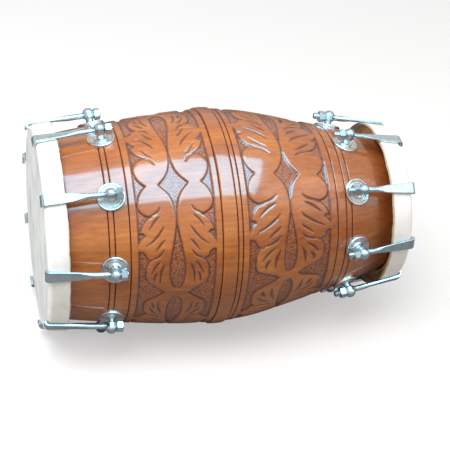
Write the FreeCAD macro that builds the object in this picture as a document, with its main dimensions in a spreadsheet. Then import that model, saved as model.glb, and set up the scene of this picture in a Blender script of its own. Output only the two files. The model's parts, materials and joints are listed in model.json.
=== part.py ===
"""A dholak: a two-headed barrel drum, turned and hollowed from one log and
tuned by threaded hooks. Millimetres and degrees.

The drum lies on its side. X runs along the drum's axis, from the wide bass
head at -X to the narrow treble head at +X, and +Z points up. The origin is
under the middle of the drum, on the floor that its belly band rests on.
"""
import FreeCAD
import Part
import math
import os

import Sketcher

LUGS = 9
BASS = "bass"
TREBLE = "treble"
ENDS = (BASS, TREBLE)
SIGNS = {BASS: -1, TREBLE: 1}

# Driving dimensions
SIZES = {
    # Whole drum, from the face of one skin to the face of the other
    "drum_length": 460.0,
    # Barrel: the belly's place and radius, and how much it narrows to each end
    "belly_place": -13.0,
    "belly_radius": 136.6,
    "bass_taper": 24.6,
    "treble_taper": 54.1,
    "wall": 12.0,
    # Raised belly band, its feet measured from the belly
    "band_bass_reach": 11.0,
    "band_treble_reach": 7.8,
    "band_height": 2.2,
    "band_bevel": 1.5,
    # Turned grooves: one beside the band, and at each end a row that runs
    # from the head inwards, every groove measured from the one before it
    "groove_depth": 1.3,
    "groove_half_width": 1.0,
    "middle_groove_gap": 6.0,
    "bass_outer_groove_setback": 72.7,
    "bass_inner_groove_gap": 6.7,
    "bass_panel_groove_gap": 17.9,
    "treble_outer_groove_setback": 81.7,
    "treble_inner_groove_gap": 7.8,
    "treble_panel_groove_gap": 12.5,
    # Carved panels: how far their sunk ground stays from the grooves on each
    # side, and where one open diamond stands, turned from the top towards -Y
    "carving_depth": 2.2,
    "bass_panel_end_margin": 8.9,
    "bass_panel_band_margin": 8.0,
    "bass_panel_turn": 36.05,
    "treble_panel_end_margin": 10.1,
    "treble_panel_band_margin": 8.4,
    "treble_panel_turn": 33.55,
    # Heads: skin lapped over a hoop
    "skin_thickness": 1.6,
    "rim_round": 6.0,
    "bass_rim_overhang": 17.0,
    "treble_rim_overhang": 21.1,
    "bass_skirt_depth": 25.5,
    "treble_skirt_depth": 27.5,
    "hoop_depth": 20.0,
    "hoop_shell_clearance": 1.6,
    "lap_clearance": 0.1,
    "paste_radius": 48.0,
    "paste_thickness": 3.0,
    # Tuning lugs: how far each row stands from its head, and how high the rod
    # passes over the wood
    "bass_lug_setback": 78.5,
    "treble_lug_setback": 73.0,
    "treble_row_turn": 5.5,
    "eye_height": 13.5,
    # Eyebolts
    "eye_head_radius": 7.2,
    "eye_head_top": 9.3,
    "eye_head_bottom": 5.6,
    "eye_flat_depth": 0.9,
    "eye_hole_clearance": 0.4,
    "post_shoulder": 0.7,
    "shank_radius": 4.0,
    "shank_hole_clearance": 0.25,
    "shank_tip": 2.0,
    # Cup washers on the wood
    "cup_radius": 17.0,
    "cup_metal": 1.4,
    "cup_rim_width": 2.6,
    "cup_rim_height": 3.0,
    "cup_boss_radius": 7.4,
    "cup_boss_skirt": 1.6,
    "cup_boss_height": 3.6,
    "cup_hole_clearance": 0.4,
    "seat_clearance": 0.05,
    # Washers and nuts inside the shell
    "inner_washer_radius": 12.0,
    "inner_washer_thickness": 1.6,
    "inner_nut_thickness": 6.5,
    "nut_across_flats": 13.0,
    # Hook bolts: round rod, flattened into a strip and bent over the rim
    "thread_radius": 4.0,
    "rod_radius": 3.6,
    "thread_past_eye": 9.0,
    "strip_width": 14.0,
    "strip_thickness": 3.5,
    "bass_strip_before_skirt": 4.0,
    "treble_strip_before_skirt": 9.0,
    "claw_reach": 8.0,
    "claw_clearance": 0.3,
    "skirt_clearance": 0.3,
    "bass_rod_tail": 1.0,
    "treble_rod_tail": 6.5,
    # Tuning nuts
    "nut_thickness": 7.5,
    "nut_seat_clearance": 0.3,
    "nut_running_clearance": 0.05,
    # How far every cutting tool runs past what it cuts
    "overrun": 5.0,
}

# A half's two arc radii, as shares of the one arc that would span belly to end
BELLY_ARC_SHARES = {BASS: 0.63, TREBLE: 0.495}
SIDE_ARC_SHARES = {BASS: 2.15, TREBLE: 4.06}
# How much of a hook's bare length stays round before it flattens into the strip
ROUND_ROD_SHARE = 0.4

# How often the carving repeats round the drum, each repeat its own mirror image
CARVING_REPEATS = 3
HALF_REPEAT = 360 / CARVING_REPEATS / 2
# Outlines of the sunk ground between the leaves. Each point is a share of half
# the panel's width, then a share of half a repeat from the open diamond.
GROUND_SHARES = {
    "diamond": [
        (0.403, 0),
        (0.142, 0.105),
        (0, 0.242),
        (-0.142, 0.105),
        (-0.403, 0),
        (-0.142, -0.105),
        (0, -0.242),
        (0.142, -0.105),
    ],
    "drop": [
        (0, 0.367),
        (0.109, 0.483),
        (0.192, 0.667),
        (0.174, 0.8),
        (0, 0.958),
        (-0.174, 0.8),
        (-0.192, 0.667),
        (-0.109, 0.483),
    ],
    "border": [
        (1.05, 0.567),
        (0.654, 0.642),
        (0.795, 0.767),
        (0.719, 0.9),
        (0.327, 1),
        (0.719, 1.1),
        (0.795, 1.233),
        (0.654, 1.358),
        (1.05, 1.433),
    ],
}
# Where the tool for each outline stands, as a share of half a repeat
MIDDLE_SHARES = {"diamond": 0, "drop": 0.66, "border": 1}
# Which outlines have a mirror image across the panel, and round the drum
BOTH_WAYS = (1, -1)
ACROSS_WAYS = {"diamond": (1,), "drop": (1,), "border": BOTH_WAYS}
ROUND_WAYS = {"diamond": (1,), "drop": BOTH_WAYS, "border": (1,)}
# The wider treble panel spreads the outlines: where each drawn share comes to lie
SPREAD_SHARES = {
    BASS: [(0, 0), (1, 1)],
    TREBLE: [(0, 0), (0.403, 0.313), (0.697, 0.745), (1, 1)],
}

doc = FreeCAD.newDocument("dholak")
made = []


def fill_sheet(name, values):
    """A sheet of plain numbers, each with its own alias."""
    sheet = doc.addObject("Spreadsheet::Sheet", name)
    for row, (alias, value) in enumerate(values.items(), start=1):
        sheet.set(f"A{row}", alias)
        sheet.set(f"B{row}", repr(value))
        sheet.setAlias(f"B{row}", alias)
    return sheet


class Barrel:
    """One half of the barrel's outline: a belly arc, then a flatter side arc.

    Places are measured outwards from the drum's middle, along its axis.
    """

    def __init__(self, end):
        belly = SIGNS[end] * SIZES["belly_place"]
        fall = SIZES[end + "_taper"]
        run = SIZES["drum_length"] / 2 - SIZES["skin_thickness"] - belly
        plain_arc = (run**2 + fall**2) / (2 * fall)
        self.end_radius = SIZES["belly_radius"] - fall
        self.belly_arc = BELLY_ARC_SHARES[end] * plain_arc
        self.side_arc = SIDE_ARC_SHARES[end] * plain_arc
        self.belly_centre = (belly, SIZES["belly_radius"] - self.belly_arc)
        # The side arc's centre lies on the line from the shoulder through the
        # belly arc's centre, where it is as far from the barrel's end as from
        # the shoulder
        beyond = self.side_arc - self.belly_arc
        away = math.hypot(run, self.belly_arc - fall)
        along = (self.side_arc**2 - beyond**2 - away**2) / (2 * beyond)
        turn = math.atan2(run, self.belly_arc - fall) - math.acos(along / away)
        outward = (math.sin(turn), math.cos(turn))
        self.shoulder = self.from_belly_centre(outward, self.belly_arc)
        self.inner_shoulder = self.from_belly_centre(outward, self.belly_arc - SIZES["wall"])
        self.floor_shoulder = self.from_belly_centre(outward, self.belly_arc - SIZES["carving_depth"])
        self.side_centre = self.from_belly_centre(outward, -beyond)
        self.reach = belly + run - self.side_centre[0]

    def from_belly_centre(self, direction, distance):
        return [centre + distance * part for centre, part in zip(self.belly_centre, direction)]

    def end_radius_under(self, depth):
        """The radius, at the barrel's end, of a layer so deep in the wood."""
        return self.side_centre[1] + math.sqrt((self.side_arc - depth) ** 2 - self.reach**2)

    def arc_at(self, place):
        """The centre and radius of the arc that carries this place."""
        if place < self.shoulder[0]:
            return self.belly_centre, self.belly_arc
        return self.side_centre, self.side_arc

    def radius(self, place):
        centre, arc = self.arc_at(place)
        return centre[1] + math.sqrt(arc**2 - (place - centre[0]) ** 2)

    def lean(self, place):
        """How far the wood's outward normal leans towards the head, in degrees."""
        centre, arc = self.arc_at(place)
        return math.degrees(math.asin((place - centre[0]) / arc))


BARRELS = {end: Barrel(end) for end in ENDS}


def outer_radius(place):
    """The barrel's radius at a place along X."""
    if place < SIZES["belly_place"]:
        return BARRELS[BASS].radius(-place)
    return BARRELS[TREBLE].radius(place)


def work_out(end):
    """The sizes of one end that follow from the driving ones."""
    barrel = BARRELS[end]
    face = SIZES["drum_length"] / 2
    rim = barrel.end_radius + SIZES[end + "_rim_overhang"]
    lug = face - SIZES[end + "_lug_setback"]
    lean = barrel.lean(lug)
    seat = barrel.radius(lug)
    eye_place = lug + SIZES["eye_height"] * math.sin(math.radians(lean))
    eye_radius = seat + SIZES["eye_height"] * math.cos(math.radians(lean))
    strip_middle = rim + SIZES["skirt_clearance"] + SIZES["strip_thickness"] / 2
    bend = face - SIZES["rim_round"]
    slope = math.degrees(math.atan((eye_radius - strip_middle) / (bend - eye_place)))
    slide = math.radians(slope)
    skirt_edge = face - SIZES[end + "_skirt_depth"]
    hoop_back = face - SIZES["hoop_depth"]
    lift = math.tan(slide)
    claw_tip = SIZES["claw_reach"] - SIZES["strip_thickness"] / 2
    claw_start = (face + SIZES["claw_clearance"] - eye_place) / math.cos(slide) + claw_tip * lift
    strip_end = skirt_edge - SIZES[end + "_strip_before_skirt"]
    strip_start = (strip_end - eye_place) / math.cos(slide)
    bare_rod = strip_start - SIZES["thread_past_eye"]
    wall_inside = seat - SIZES["wall"]
    washer_sag = wall_inside - math.sqrt(wall_inside**2 - SIZES["inner_washer_radius"] ** 2)
    return {
        "lug_place": lug,
        "seat_radius": seat,
        "lean": lean,
        "eye_place": eye_place,
        "eye_radius": eye_radius,
        "rod_slope": slope,
        "end_radius": barrel.end_radius,
        "shoulder_place": barrel.shoulder[0],
        "shoulder_radius": barrel.shoulder[1],
        "inner_shoulder_place": barrel.inner_shoulder[0],
        "inner_shoulder_radius": barrel.inner_shoulder[1],
        "mouth_radius": barrel.end_radius_under(SIZES["wall"]),
        "floor_shoulder_place": barrel.floor_shoulder[0],
        "floor_shoulder_radius": barrel.floor_shoulder[1],
        "floor_end_radius": barrel.end_radius_under(SIZES["carving_depth"]),
        "belly_arc": barrel.belly_arc,
        "side_arc": barrel.side_arc,
        "rim_radius": rim,
        "skirt_edge": skirt_edge,
        "skirt_edge_radius": rim + (bend - skirt_edge) * lift,
        "hoop_back": hoop_back,
        "hoop_back_radius": rim + (bend - hoop_back) * lift,
        "hoop_inner_radius": barrel.radius(hoop_back) + SIZES["hoop_shell_clearance"],
        "twist_start": SIZES["thread_past_eye"] + ROUND_ROD_SHARE * bare_rod,
        "strip_start": strip_start,
        "claw_start": claw_start,
        "inner_seat": -SIZES["wall"] - washer_sag - SIZES["seat_clearance"],
    }


def place_grooves():
    """Where each turned groove lies along X, the feet of the belly band among them."""
    band_left = SIZES["belly_place"] - SIZES["band_bass_reach"]
    band_right = SIZES["belly_place"] + SIZES["band_treble_reach"]
    places = {
        "band_left": band_left,
        "band_right": band_right,
        "middle_groove": band_right + SIZES["middle_groove_gap"],
    }
    for end, sign in SIGNS.items():
        place = SIZES["drum_length"] / 2 - SIZES[end + "_outer_groove_setback"]
        places[end + "_outer_groove"] = sign * place
        for name in ("inner", "panel"):
            place -= SIZES[f"{end}_{name}_groove_gap"]
            places[f"{end}_{name}_groove"] = sign * place
    return places


def place_panel(end):
    """Where a carved panel's sunk ground lies along X, and how far out."""
    if end == BASS:
        left = GROOVES["bass_panel_groove"] + SIZES["bass_panel_end_margin"]
        right = GROOVES["band_left"] - SIZES["bass_panel_band_margin"]
    else:
        left = GROOVES["middle_groove"] + SIZES["treble_panel_band_margin"]
        right = GROOVES["treble_panel_groove"] - SIZES["treble_panel_end_margin"]
    low = min(outer_radius(left), outer_radius(right)) - 2 * SIZES["carving_depth"]
    return {
        "panel_left": left,
        "panel_right": right,
        "panel_middle": (left + right) / 2,
        "panel_half": (right - left) / 2,
        "panel_radius": outer_radius((left + right) / 2),
        "panel_low": low,
    }


GROOVES = place_grooves()
worked = {
    "axis_height": SIZES["belly_radius"] + SIZES["band_height"],
    "post_radius": SIZES["shank_radius"] + SIZES["post_shoulder"],
    "eye_flat": SIZES["eye_head_radius"] - SIZES["eye_flat_depth"],
    "cup_dish_radius": SIZES["cup_boss_radius"] + SIZES["cup_boss_skirt"],
    "seam_turn": (SIZES["treble_row_turn"] + 360 / LUGS) / 2,
}
for end_name in ENDS:
    for size_name, size_value in {**work_out(end_name), **place_panel(end_name)}.items():
        worked[f"{end_name}_{size_name}"] = size_value
for groove_name, groove_place in GROOVES.items():
    worked[groove_name] = groove_place
    worked[groove_name + "_radius"] = outer_radius(groove_place)

fill_sheet("sizes", SIZES)
fill_sheet("worked", worked)
doc.recompute()


def origin_part(body, role):
    """One of a body's own origin planes or axes."""
    for feature in body.Origin.OriginFeatures:
        if feature.Role == role:
            return feature
    raise ValueError(role)


def new_body(label, kept=True):
    """A body that is one of the sub-parts, or, if it isn't kept, a tool for one."""
    body = doc.addObject("PartDesign::Body", label)
    body.Label = label
    body.AllowCompound = True
    if kept:
        made.append(body)
    return body


def new_sketch(body, name, role):
    sketch = body.newObject("Sketcher::SketchObject", name)
    sketch.AttachmentSupport = [(origin_part(body, role), "")]
    sketch.MapMode = "FlatFace"
    return sketch


def bind(item, **bindings):
    """Tie properties to expressions; a double underscore stands for a dot."""
    for name, expression in bindings.items():
        item.setExpression(name.replace("__", "."), expression)


def lug_sketch(body, name, end, turn="lean"):
    """A sketch standing on the wood under a lug, its Y axis along the normal."""
    sketch = new_sketch(body, name, "XZ_Plane")
    clockwise = FreeCAD.Rotation(FreeCAD.Vector(0, 0, -1), worked[f"{end}_{turn}"])
    sketch.AttachmentOffset = FreeCAD.Placement(FreeCAD.Vector(), clockwise)
    bind(
        sketch,
        AttachmentOffset__Base__x=f"worked.{end}_lug_place",
        AttachmentOffset__Base__y=f"worked.{end}_seat_radius",
        AttachmentOffset__Rotation__Angle=f"worked.{end}_{turn}",
    )
    return sketch


def eye_sketch(body, name, end):
    """A sketch at a lug's eye, its X axis along the rod."""
    sketch = lug_sketch(body, name, end, "rod_slope")
    bind(
        sketch,
        AttachmentOffset__Base__x=f"worked.{end}_eye_place",
        AttachmentOffset__Base__y=f"worked.{end}_eye_radius",
    )
    return sketch


def value_of(expression):
    return float(doc.sizes.evalExpression(expression))


def hold(sketch, kind, numbers, expression):
    """One dimension of a sketch, tied to an expression."""
    index = sketch.addConstraint(Sketcher.Constraint(kind, *numbers, value_of(expression)))
    sketch.setExpression(f"Constraints[{index}]", expression)


def minor_arc(start, finish, radius):
    """A counter-clockwise minor arc that bulges upwards, and the order of its ends."""
    chord = finish - start
    side = FreeCAD.Vector(-chord.y, chord.x, 0).normalize()
    if side.y > 0:
        side = side * -1
    centre = (start + finish) * 0.5 + side * math.sqrt(radius**2 - (chord.Length / 2) ** 2)
    angles = [math.atan2(point.y - centre.y, point.x - centre.x) for point in (start, finish)]
    order = (1, 2)
    if (angles[1] - angles[0]) % (2 * math.pi) > math.pi:
        angles.reverse()
        order = (2, 1)
    circle_of_arc = Part.Circle(centre, FreeCAD.Vector(0, 0, 1), radius)
    return Part.ArcOfCircle(circle_of_arc, *angles), order


def outline(sketch, corners, arcs=None):
    """A closed outline through corners given as pairs of expressions.

    arcs gives the radius for each corner that an arc starts from.
    """
    arcs = arcs or {}
    points = [FreeCAD.Vector(value_of(x), value_of(y), 0) for x, y in corners]
    count = len(points)
    ends = []
    first = len(sketch.Geometry)
    for index, start in enumerate(points):
        finish = points[(index + 1) % count]
        if index in arcs:
            curve, order = minor_arc(start, finish, value_of(arcs[index]))
            sketch.addGeometry(curve)
            ends.append(order)
        else:
            sketch.addGeometry(Part.LineSegment(start, finish))
            ends.append((1, 2))
    for index in range(count):
        after = (index + 1) % count
        joined = (first + index, ends[index][1], first + after, ends[after][0])
        sketch.addConstraint(Sketcher.Constraint("Coincident", *joined))
    for index, (across, up) in enumerate(corners):
        corner = (-1, 1, first + index, ends[index][0])
        hold(sketch, "DistanceX", corner, across)
        hold(sketch, "DistanceY", corner, up)
        if index in arcs:
            hold(sketch, "Radius", (first + index,), arcs[index])


def circle(sketch, radius, across="0", up="0"):
    index = sketch.addGeometry(Part.Circle(FreeCAD.Vector(), FreeCAD.Vector(0, 0, 1), value_of(radius)))
    hold(sketch, "DistanceX", (-1, 1, index, 3), across)
    hold(sketch, "DistanceY", (-1, 1, index, 3), up)
    hold(sketch, "Radius", (index,), radius)


def rectangle(sketch, left, right, low, high):
    outline(sketch, [(left, low), (right, low), (right, high), (left, high)])


def hexagon(sketch, across_flats):
    """A hexagon round the sketch's origin, with a corner up."""
    corner_share = 1 / math.cos(math.radians(30))
    corners = []
    for index in range(6):
        angle = math.radians(90 + 60 * index)
        reach = f"{across_flats} / 2 * {corner_share!r}"
        corners.append((f"{reach} * {math.cos(angle)!r}", f"{reach} * {math.sin(angle)!r}"))
    outline(sketch, corners)


def revolve(body, sketch, axis="H_Axis", cut=False):
    """A full turn of a sketch round its own axis."""
    kind = "PartDesign::Groove" if cut else "PartDesign::Revolution"
    feature = body.newObject(kind, sketch.Name + "_turned")
    feature.Profile = sketch
    feature.ReferenceAxis = (sketch, [axis])
    feature.Angle = 360
    return feature


def extrude(body, sketch, length, kind="PartDesign::Pad", both_ways=False, reverse=False):
    feature = body.newObject(kind, sketch.Name + "_run")
    feature.Profile = sketch
    feature.setExpression("Length", length)
    feature.Midplane = both_ways
    feature.Reversed = reverse
    return feature


def ring_of(body, features, name, count=LUGS):
    """Repeat features round the drum's axis, at every lug of a row if not told otherwise."""
    doc.recompute()
    pattern = body.newObject("PartDesign::PolarPattern", name)
    pattern.Originals = features
    pattern.Axis = (origin_part(body, "X_Axis"), [""])
    pattern.Angle = 360
    pattern.Occurrences = count
    body.Tip = pattern
    doc.recompute()
    return pattern


def must_cut(body, before, feature):
    """Stop if a cut took nothing away."""
    doc.recompute()
    if math.isclose(feature.Shape.Volume, before):
        raise RuntimeError(f"{body.Label}: {feature.Name} cuts nothing")


def end_placement(end):
    """Turns an end's own frame, which points outwards along +X, into the drum's."""
    if end == BASS:
        turn = FreeCAD.Rotation(FreeCAD.Vector(0, 0, 1), 180)
    else:
        turn = FreeCAD.Rotation(FreeCAD.Vector(1, 0, 0), SIZES["treble_row_turn"])
    return FreeCAD.Placement(FreeCAD.Vector(0, 0, worked["axis_height"]), turn)


def settle(body, placement):
    body.Placement = placement
    body.setExpression("Placement.Base.z", "worked.axis_height")


# Shell
def make_blank():
    """The barrel: turned outside, hollowed inside, drilled for the eyebolts."""
    body = new_body("shell_blank", kept=False)
    tip = "sizes.drum_length / 2 - sizes.skin_thickness"
    barrel = shell_sketch(body, "barrel_outline")
    outline(
        barrel,
        [
            (f"-({tip})", "worked.bass_end_radius"),
            ("-worked.bass_shoulder_place", "worked.bass_shoulder_radius"),
            ("sizes.belly_place", "sizes.belly_radius"),
            ("worked.treble_shoulder_place", "worked.treble_shoulder_radius"),
            (tip, "worked.treble_end_radius"),
            (tip, "worked.treble_mouth_radius"),
            ("worked.treble_inner_shoulder_place", "worked.treble_inner_shoulder_radius"),
            ("sizes.belly_place", "sizes.belly_radius - sizes.wall"),
            ("-worked.bass_inner_shoulder_place", "worked.bass_inner_shoulder_radius"),
            (f"-({tip})", "worked.bass_mouth_radius"),
        ],
        {
            0: "worked.bass_side_arc",
            1: "worked.bass_belly_arc",
            2: "worked.treble_belly_arc",
            3: "worked.treble_side_arc",
            5: "worked.treble_side_arc - sizes.wall",
            6: "worked.treble_belly_arc - sizes.wall",
            7: "worked.bass_belly_arc - sizes.wall",
            8: "worked.bass_side_arc - sizes.wall",
        },
    )
    revolve(body, barrel)

    band = shell_sketch(body, "band_outline")
    foot = "sizes.belly_radius - sizes.wall / 2"
    top = "sizes.belly_radius + sizes.band_height"
    corner = "sizes.belly_radius + sizes.band_height - sizes.band_bevel"
    outline(
        band,
        [
            ("worked.band_left", foot),
            ("worked.band_left", corner),
            ("worked.band_left + sizes.band_bevel", top),
            ("worked.band_right - sizes.band_bevel", top),
            ("worked.band_right", corner),
            ("worked.band_right", foot),
        ],
    )
    raised = revolve(body, band)
    doc.recompute()

    grooves = shell_sketch(body, "groove_outlines")
    for name in GROOVES:
        width = "sizes.groove_half_width"
        outline(
            grooves,
            [
                (f"worked.{name} - {width}", f"worked.{name}_radius + {width}"),
                (f"worked.{name}", f"worked.{name}_radius - sizes.groove_depth"),
                (f"worked.{name} + {width}", f"worked.{name}_radius + {width}"),
            ],
        )
    cut = revolve(body, grooves, cut=True)
    must_cut(body, raised.Shape.Volume, cut)
    body.Tip = cut

    for end in ENDS:
        drill_lug_holes(body, end)
    settle(body, FreeCAD.Placement())
    return body


def shell_sketch(body, name):
    """A sketch through the drum's axis and midway between two lugs, where the
    turned faces close on themselves clear of every hole."""
    sketch = new_sketch(body, name, "XZ_Plane")
    seam = FreeCAD.Rotation(FreeCAD.Vector(1, 0, 0), worked["seam_turn"])
    sketch.AttachmentOffset = FreeCAD.Placement(FreeCAD.Vector(), seam)
    return sketch


def drill_lug_holes(body, end):
    """A ring of holes, each square to the wood under its lug."""
    sketch = new_sketch(body, end + "_hole", "XY_Plane")
    sign = SIGNS[end]
    row_turn = SIZES["treble_row_turn"] if end == TREBLE else 0
    tilt = FreeCAD.Rotation(FreeCAD.Vector(0, 1, 0), sign * worked[end + "_lean"])
    turn = FreeCAD.Rotation(FreeCAD.Vector(1, 0, 0), row_turn)
    seat = FreeCAD.Vector(sign * worked[end + "_lug_place"], 0, worked[end + "_seat_radius"])
    sketch.AttachmentOffset = FreeCAD.Placement(turn.multVec(seat), turn.multiply(tilt))
    circle(sketch, "sizes.shank_radius + sizes.shank_hole_clearance")
    before = body.Tip.Shape.Volume
    length = "2 * (sizes.wall + sizes.overrun)"
    hole = extrude(body, sketch, length, "PartDesign::Pocket", both_ways=True)
    must_cut(body, before, hole)
    ring_of(body, [hole], end + "_holes")


def spread_share(end, share):
    """Where a drawn share of half a panel's width comes to lie on an end's panel."""
    knots = SPREAD_SHARES[end]
    for (low, low_place), (high, high_place) in zip(knots, knots[1:]):
        if share <= high:
            break
    return low_place + (share - low) * (high_place - low_place) / (high - low)


def make_ground_layer():
    """The wood that may be sunk: under each panel, down to the carving's floor."""
    body = new_body("ground_layer", kept=False)
    rings = shell_sketch(body, "panel_outlines")
    inside = "sizes.belly_radius / 2"
    beyond = "sizes.belly_radius + sizes.overrun"
    for end in ENDS:
        rectangle(rings, f"worked.{end}_panel_left", f"worked.{end}_panel_right", inside, beyond)
    ring = revolve(body, rings)
    doc.recompute()

    floor = shell_sketch(body, "floor_outline")
    tip = "sizes.drum_length / 2 - sizes.skin_thickness"
    depth = "sizes.carving_depth"
    outline(
        floor,
        [
            (f"-({tip})", "worked.bass_floor_end_radius"),
            ("-worked.bass_floor_shoulder_place", "worked.bass_floor_shoulder_radius"),
            ("sizes.belly_place", f"sizes.belly_radius - {depth}"),
            ("worked.treble_floor_shoulder_place", "worked.treble_floor_shoulder_radius"),
            (tip, "worked.treble_floor_end_radius"),
            (tip, "0"),
            (f"-({tip})", "0"),
        ],
        {
            0: f"worked.bass_side_arc - {depth}",
            1: f"worked.bass_belly_arc - {depth}",
            2: f"worked.treble_belly_arc - {depth}",
            3: f"worked.treble_side_arc - {depth}",
        },
    )
    kept_wood = revolve(body, floor, cut=True)
    must_cut(body, ring.Shape.Volume, kept_wood)
    settle(body, FreeCAD.Placement())
    return body


def ground_tool(body, end, name, round_way):
    """Prisms on one outline of sunk ground, pointing outwards through the wood."""
    middle = round_way * MIDDLE_SHARES[name] * HALF_REPEAT
    turn = math.radians(SIZES[end + "_panel_turn"] + middle)
    offsets = [math.radians(round_way * share * HALF_REPEAT - middle) for _, share in GROUND_SHARES[name]]
    low_share = min(math.cos(offset) for offset in offsets)
    sketch = new_sketch(body, f"{end}_{name}", "XY_Plane")
    round_axis = FreeCAD.Rotation(FreeCAD.Vector(1, 0, 0), math.degrees(turn))
    sketch.AttachmentOffset = FreeCAD.Placement(FreeCAD.Vector(), round_axis)
    bind(
        sketch,
        AttachmentOffset__Base__x=f"worked.{end}_panel_middle",
        AttachmentOffset__Base__y=f"{-math.sin(turn) * low_share!r} * worked.{end}_panel_low",
        AttachmentOffset__Base__z=f"{math.cos(turn) * low_share!r} * worked.{end}_panel_low",
    )
    for across_way in ACROSS_WAYS[name]:
        corners = []
        for (across, _), offset in zip(GROUND_SHARES[name], offsets):
            place_share = across_way * math.copysign(spread_share(end, abs(across)), across)
            along = f"{place_share!r} * worked.{end}_panel_half"
            corners.append((along, f"{-math.sin(offset)!r} * worked.{end}_panel_radius"))
        outline(sketch, corners)
    height = f"sizes.belly_radius + sizes.overrun - {low_share!r} * worked.{end}_panel_low"
    return extrude(body, sketch, height)


def make_ground_tools():
    """Every outline of sunk ground on both panels, as prisms."""
    body = new_body("ground_tools", kept=False)
    for end in ENDS:
        tools = []
        for name, round_ways in ROUND_WAYS.items():
            tools += [ground_tool(body, end, name, round_way) for round_way in round_ways]
        ring_of(body, tools, end + "_ground_ring", CARVING_REPEATS)
    settle(body, FreeCAD.Placement())
    return body


def make_shell():
    """The shell: its blank with the ground between the carved leaves sunk."""
    blank = make_blank()
    ground = doc.addObject("Part::Common", "sunk_ground")
    ground.Base = make_ground_layer()
    ground.Tool = make_ground_tools()
    shell = doc.addObject("Part::Cut", "shell")
    shell.Label = "shell"
    shell.Base = blank
    shell.Tool = ground
    doc.recompute()
    if math.isclose(shell.Shape.Volume, blank.Shape.Volume):
        raise RuntimeError("shell: the carving cuts nothing")
    made.append(shell)


# Heads
def skin_points(end):
    """Expressions shared by a head's skin and hoop."""
    return {
        "face": "sizes.drum_length / 2",
        "rim": f"worked.{end}_rim_radius",
        "edge": f"worked.{end}_skirt_edge",
        "edge_radius": f"worked.{end}_skirt_edge_radius",
    }


def make_skin(end):
    """The playing skin: flat, rounded over the hoop, its skirt lapped down outside."""
    body = new_body(end + "_head_skin")
    at = skin_points(end)
    sketch = new_sketch(body, end + "_skin_outline", "XZ_Plane")
    thick = "sizes.skin_thickness"
    bend = "sizes.rim_round"
    outline(
        sketch,
        [
            (f"{at['face']} - {thick}", "0"),
            (at["face"], "0"),
            (at["face"], f"{at['rim']} - {bend}"),
            (f"{at['face']} - {bend}", at["rim"]),
            (at["edge"], at["edge_radius"]),
            (at["edge"], f"{at['edge_radius']} - {thick}"),
            (f"{at['face']} - {bend}", f"{at['rim']} - {thick}"),
            (f"{at['face']} - {thick}", f"{at['rim']} - {bend}"),
        ],
        {2: bend, 6: f"{bend} - {thick}"},
    )
    revolve(body, sketch)
    settle(body, end_placement(end))
    return body


def make_hoop(end):
    """The hoop that the skin is lapped on, clear of the shell."""
    body = new_body(end + "_hoop")
    at = skin_points(end)
    inner = f"worked.{end}_hoop_inner_radius"
    lap = "(sizes.skin_thickness + sizes.lap_clearance)"
    front = f"{at['face']} - {lap}"
    back = f"worked.{end}_hoop_back"
    sketch = new_sketch(body, end + "_hoop_outline", "XZ_Plane")
    outline(
        sketch,
        [
            (front, inner),
            (front, f"{at['rim']} - sizes.rim_round"),
            (f"{at['face']} - sizes.rim_round", f"{at['rim']} - {lap}"),
            (back, f"worked.{end}_hoop_back_radius - {lap}"),
            (back, inner),
        ],
        {1: f"sizes.rim_round - {lap}"},
    )
    revolve(body, sketch)
    settle(body, end_placement(end))
    return body


def make_paste():
    """The disc of tuning paste on the inner side of the bass skin."""
    paste = doc.addObject("Part::Cylinder", "bass_tuning_paste")
    paste.Label = "bass_tuning_paste"
    bind(paste, Radius="sizes.paste_radius", Height="sizes.paste_thickness")
    sideways = FreeCAD.Rotation(FreeCAD.Vector(0, 1, 0), 90)
    paste.Placement = FreeCAD.Placement(FreeCAD.Vector(), sideways)
    bind(
        paste,
        Placement__Base__x="-sizes.drum_length / 2 + sizes.skin_thickness",
        Placement__Base__z="worked.axis_height",
    )
    made.append(paste)


# Tuning lugs
def make_eyebolts(end):
    """Nine eyebolts: a domed head with two flats, crossed by the hook's rod."""
    body = new_body(end + "_eyebolts")
    foot = "sizes.cup_boss_height + sizes.seat_clearance"
    dome = "sizes.eye_height + sizes.eye_head_top"
    shoulder = f"{dome} - sizes.eye_head_radius"
    low = "sizes.eye_height - sizes.eye_head_bottom"
    tip = "worked.{0}_inner_seat - sizes.inner_washer_thickness - sizes.inner_nut_thickness - sizes.shank_tip"
    profile = lug_sketch(body, end + "_eyebolt_outline", end)
    outline(
        profile,
        [
            ("0", tip.format(end)),
            ("sizes.shank_radius", tip.format(end)),
            ("sizes.shank_radius", foot),
            ("worked.post_radius", foot),
            ("worked.post_radius", low),
            ("sizes.eye_head_radius", f"{low} + sizes.eye_head_radius - worked.post_radius"),
            ("sizes.eye_head_radius", shoulder),
            ("0", dome),
        ],
        {6: "sizes.eye_head_radius"},
    )
    bolt = revolve(body, profile, "V_Axis")
    doc.recompute()

    flats = eye_sketch(body, end + "_flats", end)
    reach = "sizes.eye_head_radius + sizes.overrun"
    top = "sizes.eye_head_top + sizes.overrun"
    bottom = "-sizes.nut_across_flats / 2 - 2 * sizes.nut_seat_clearance"
    rectangle(flats, "worked.eye_flat", reach, bottom, top)
    rectangle(flats, f"-({reach})", "-worked.eye_flat", bottom, top)
    before = bolt.Shape.Volume
    width = "2 * (sizes.eye_head_radius + sizes.overrun)"
    cut = extrude(body, flats, width, "PartDesign::Pocket", both_ways=True)
    must_cut(body, before, cut)

    eye = cross_hole(body, end)
    must_cut(body, cut.Shape.Volume, eye)
    ring_of(body, [bolt, cut, eye], end + "_eyebolt_ring")
    settle(body, end_placement(end))
    return body


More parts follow.
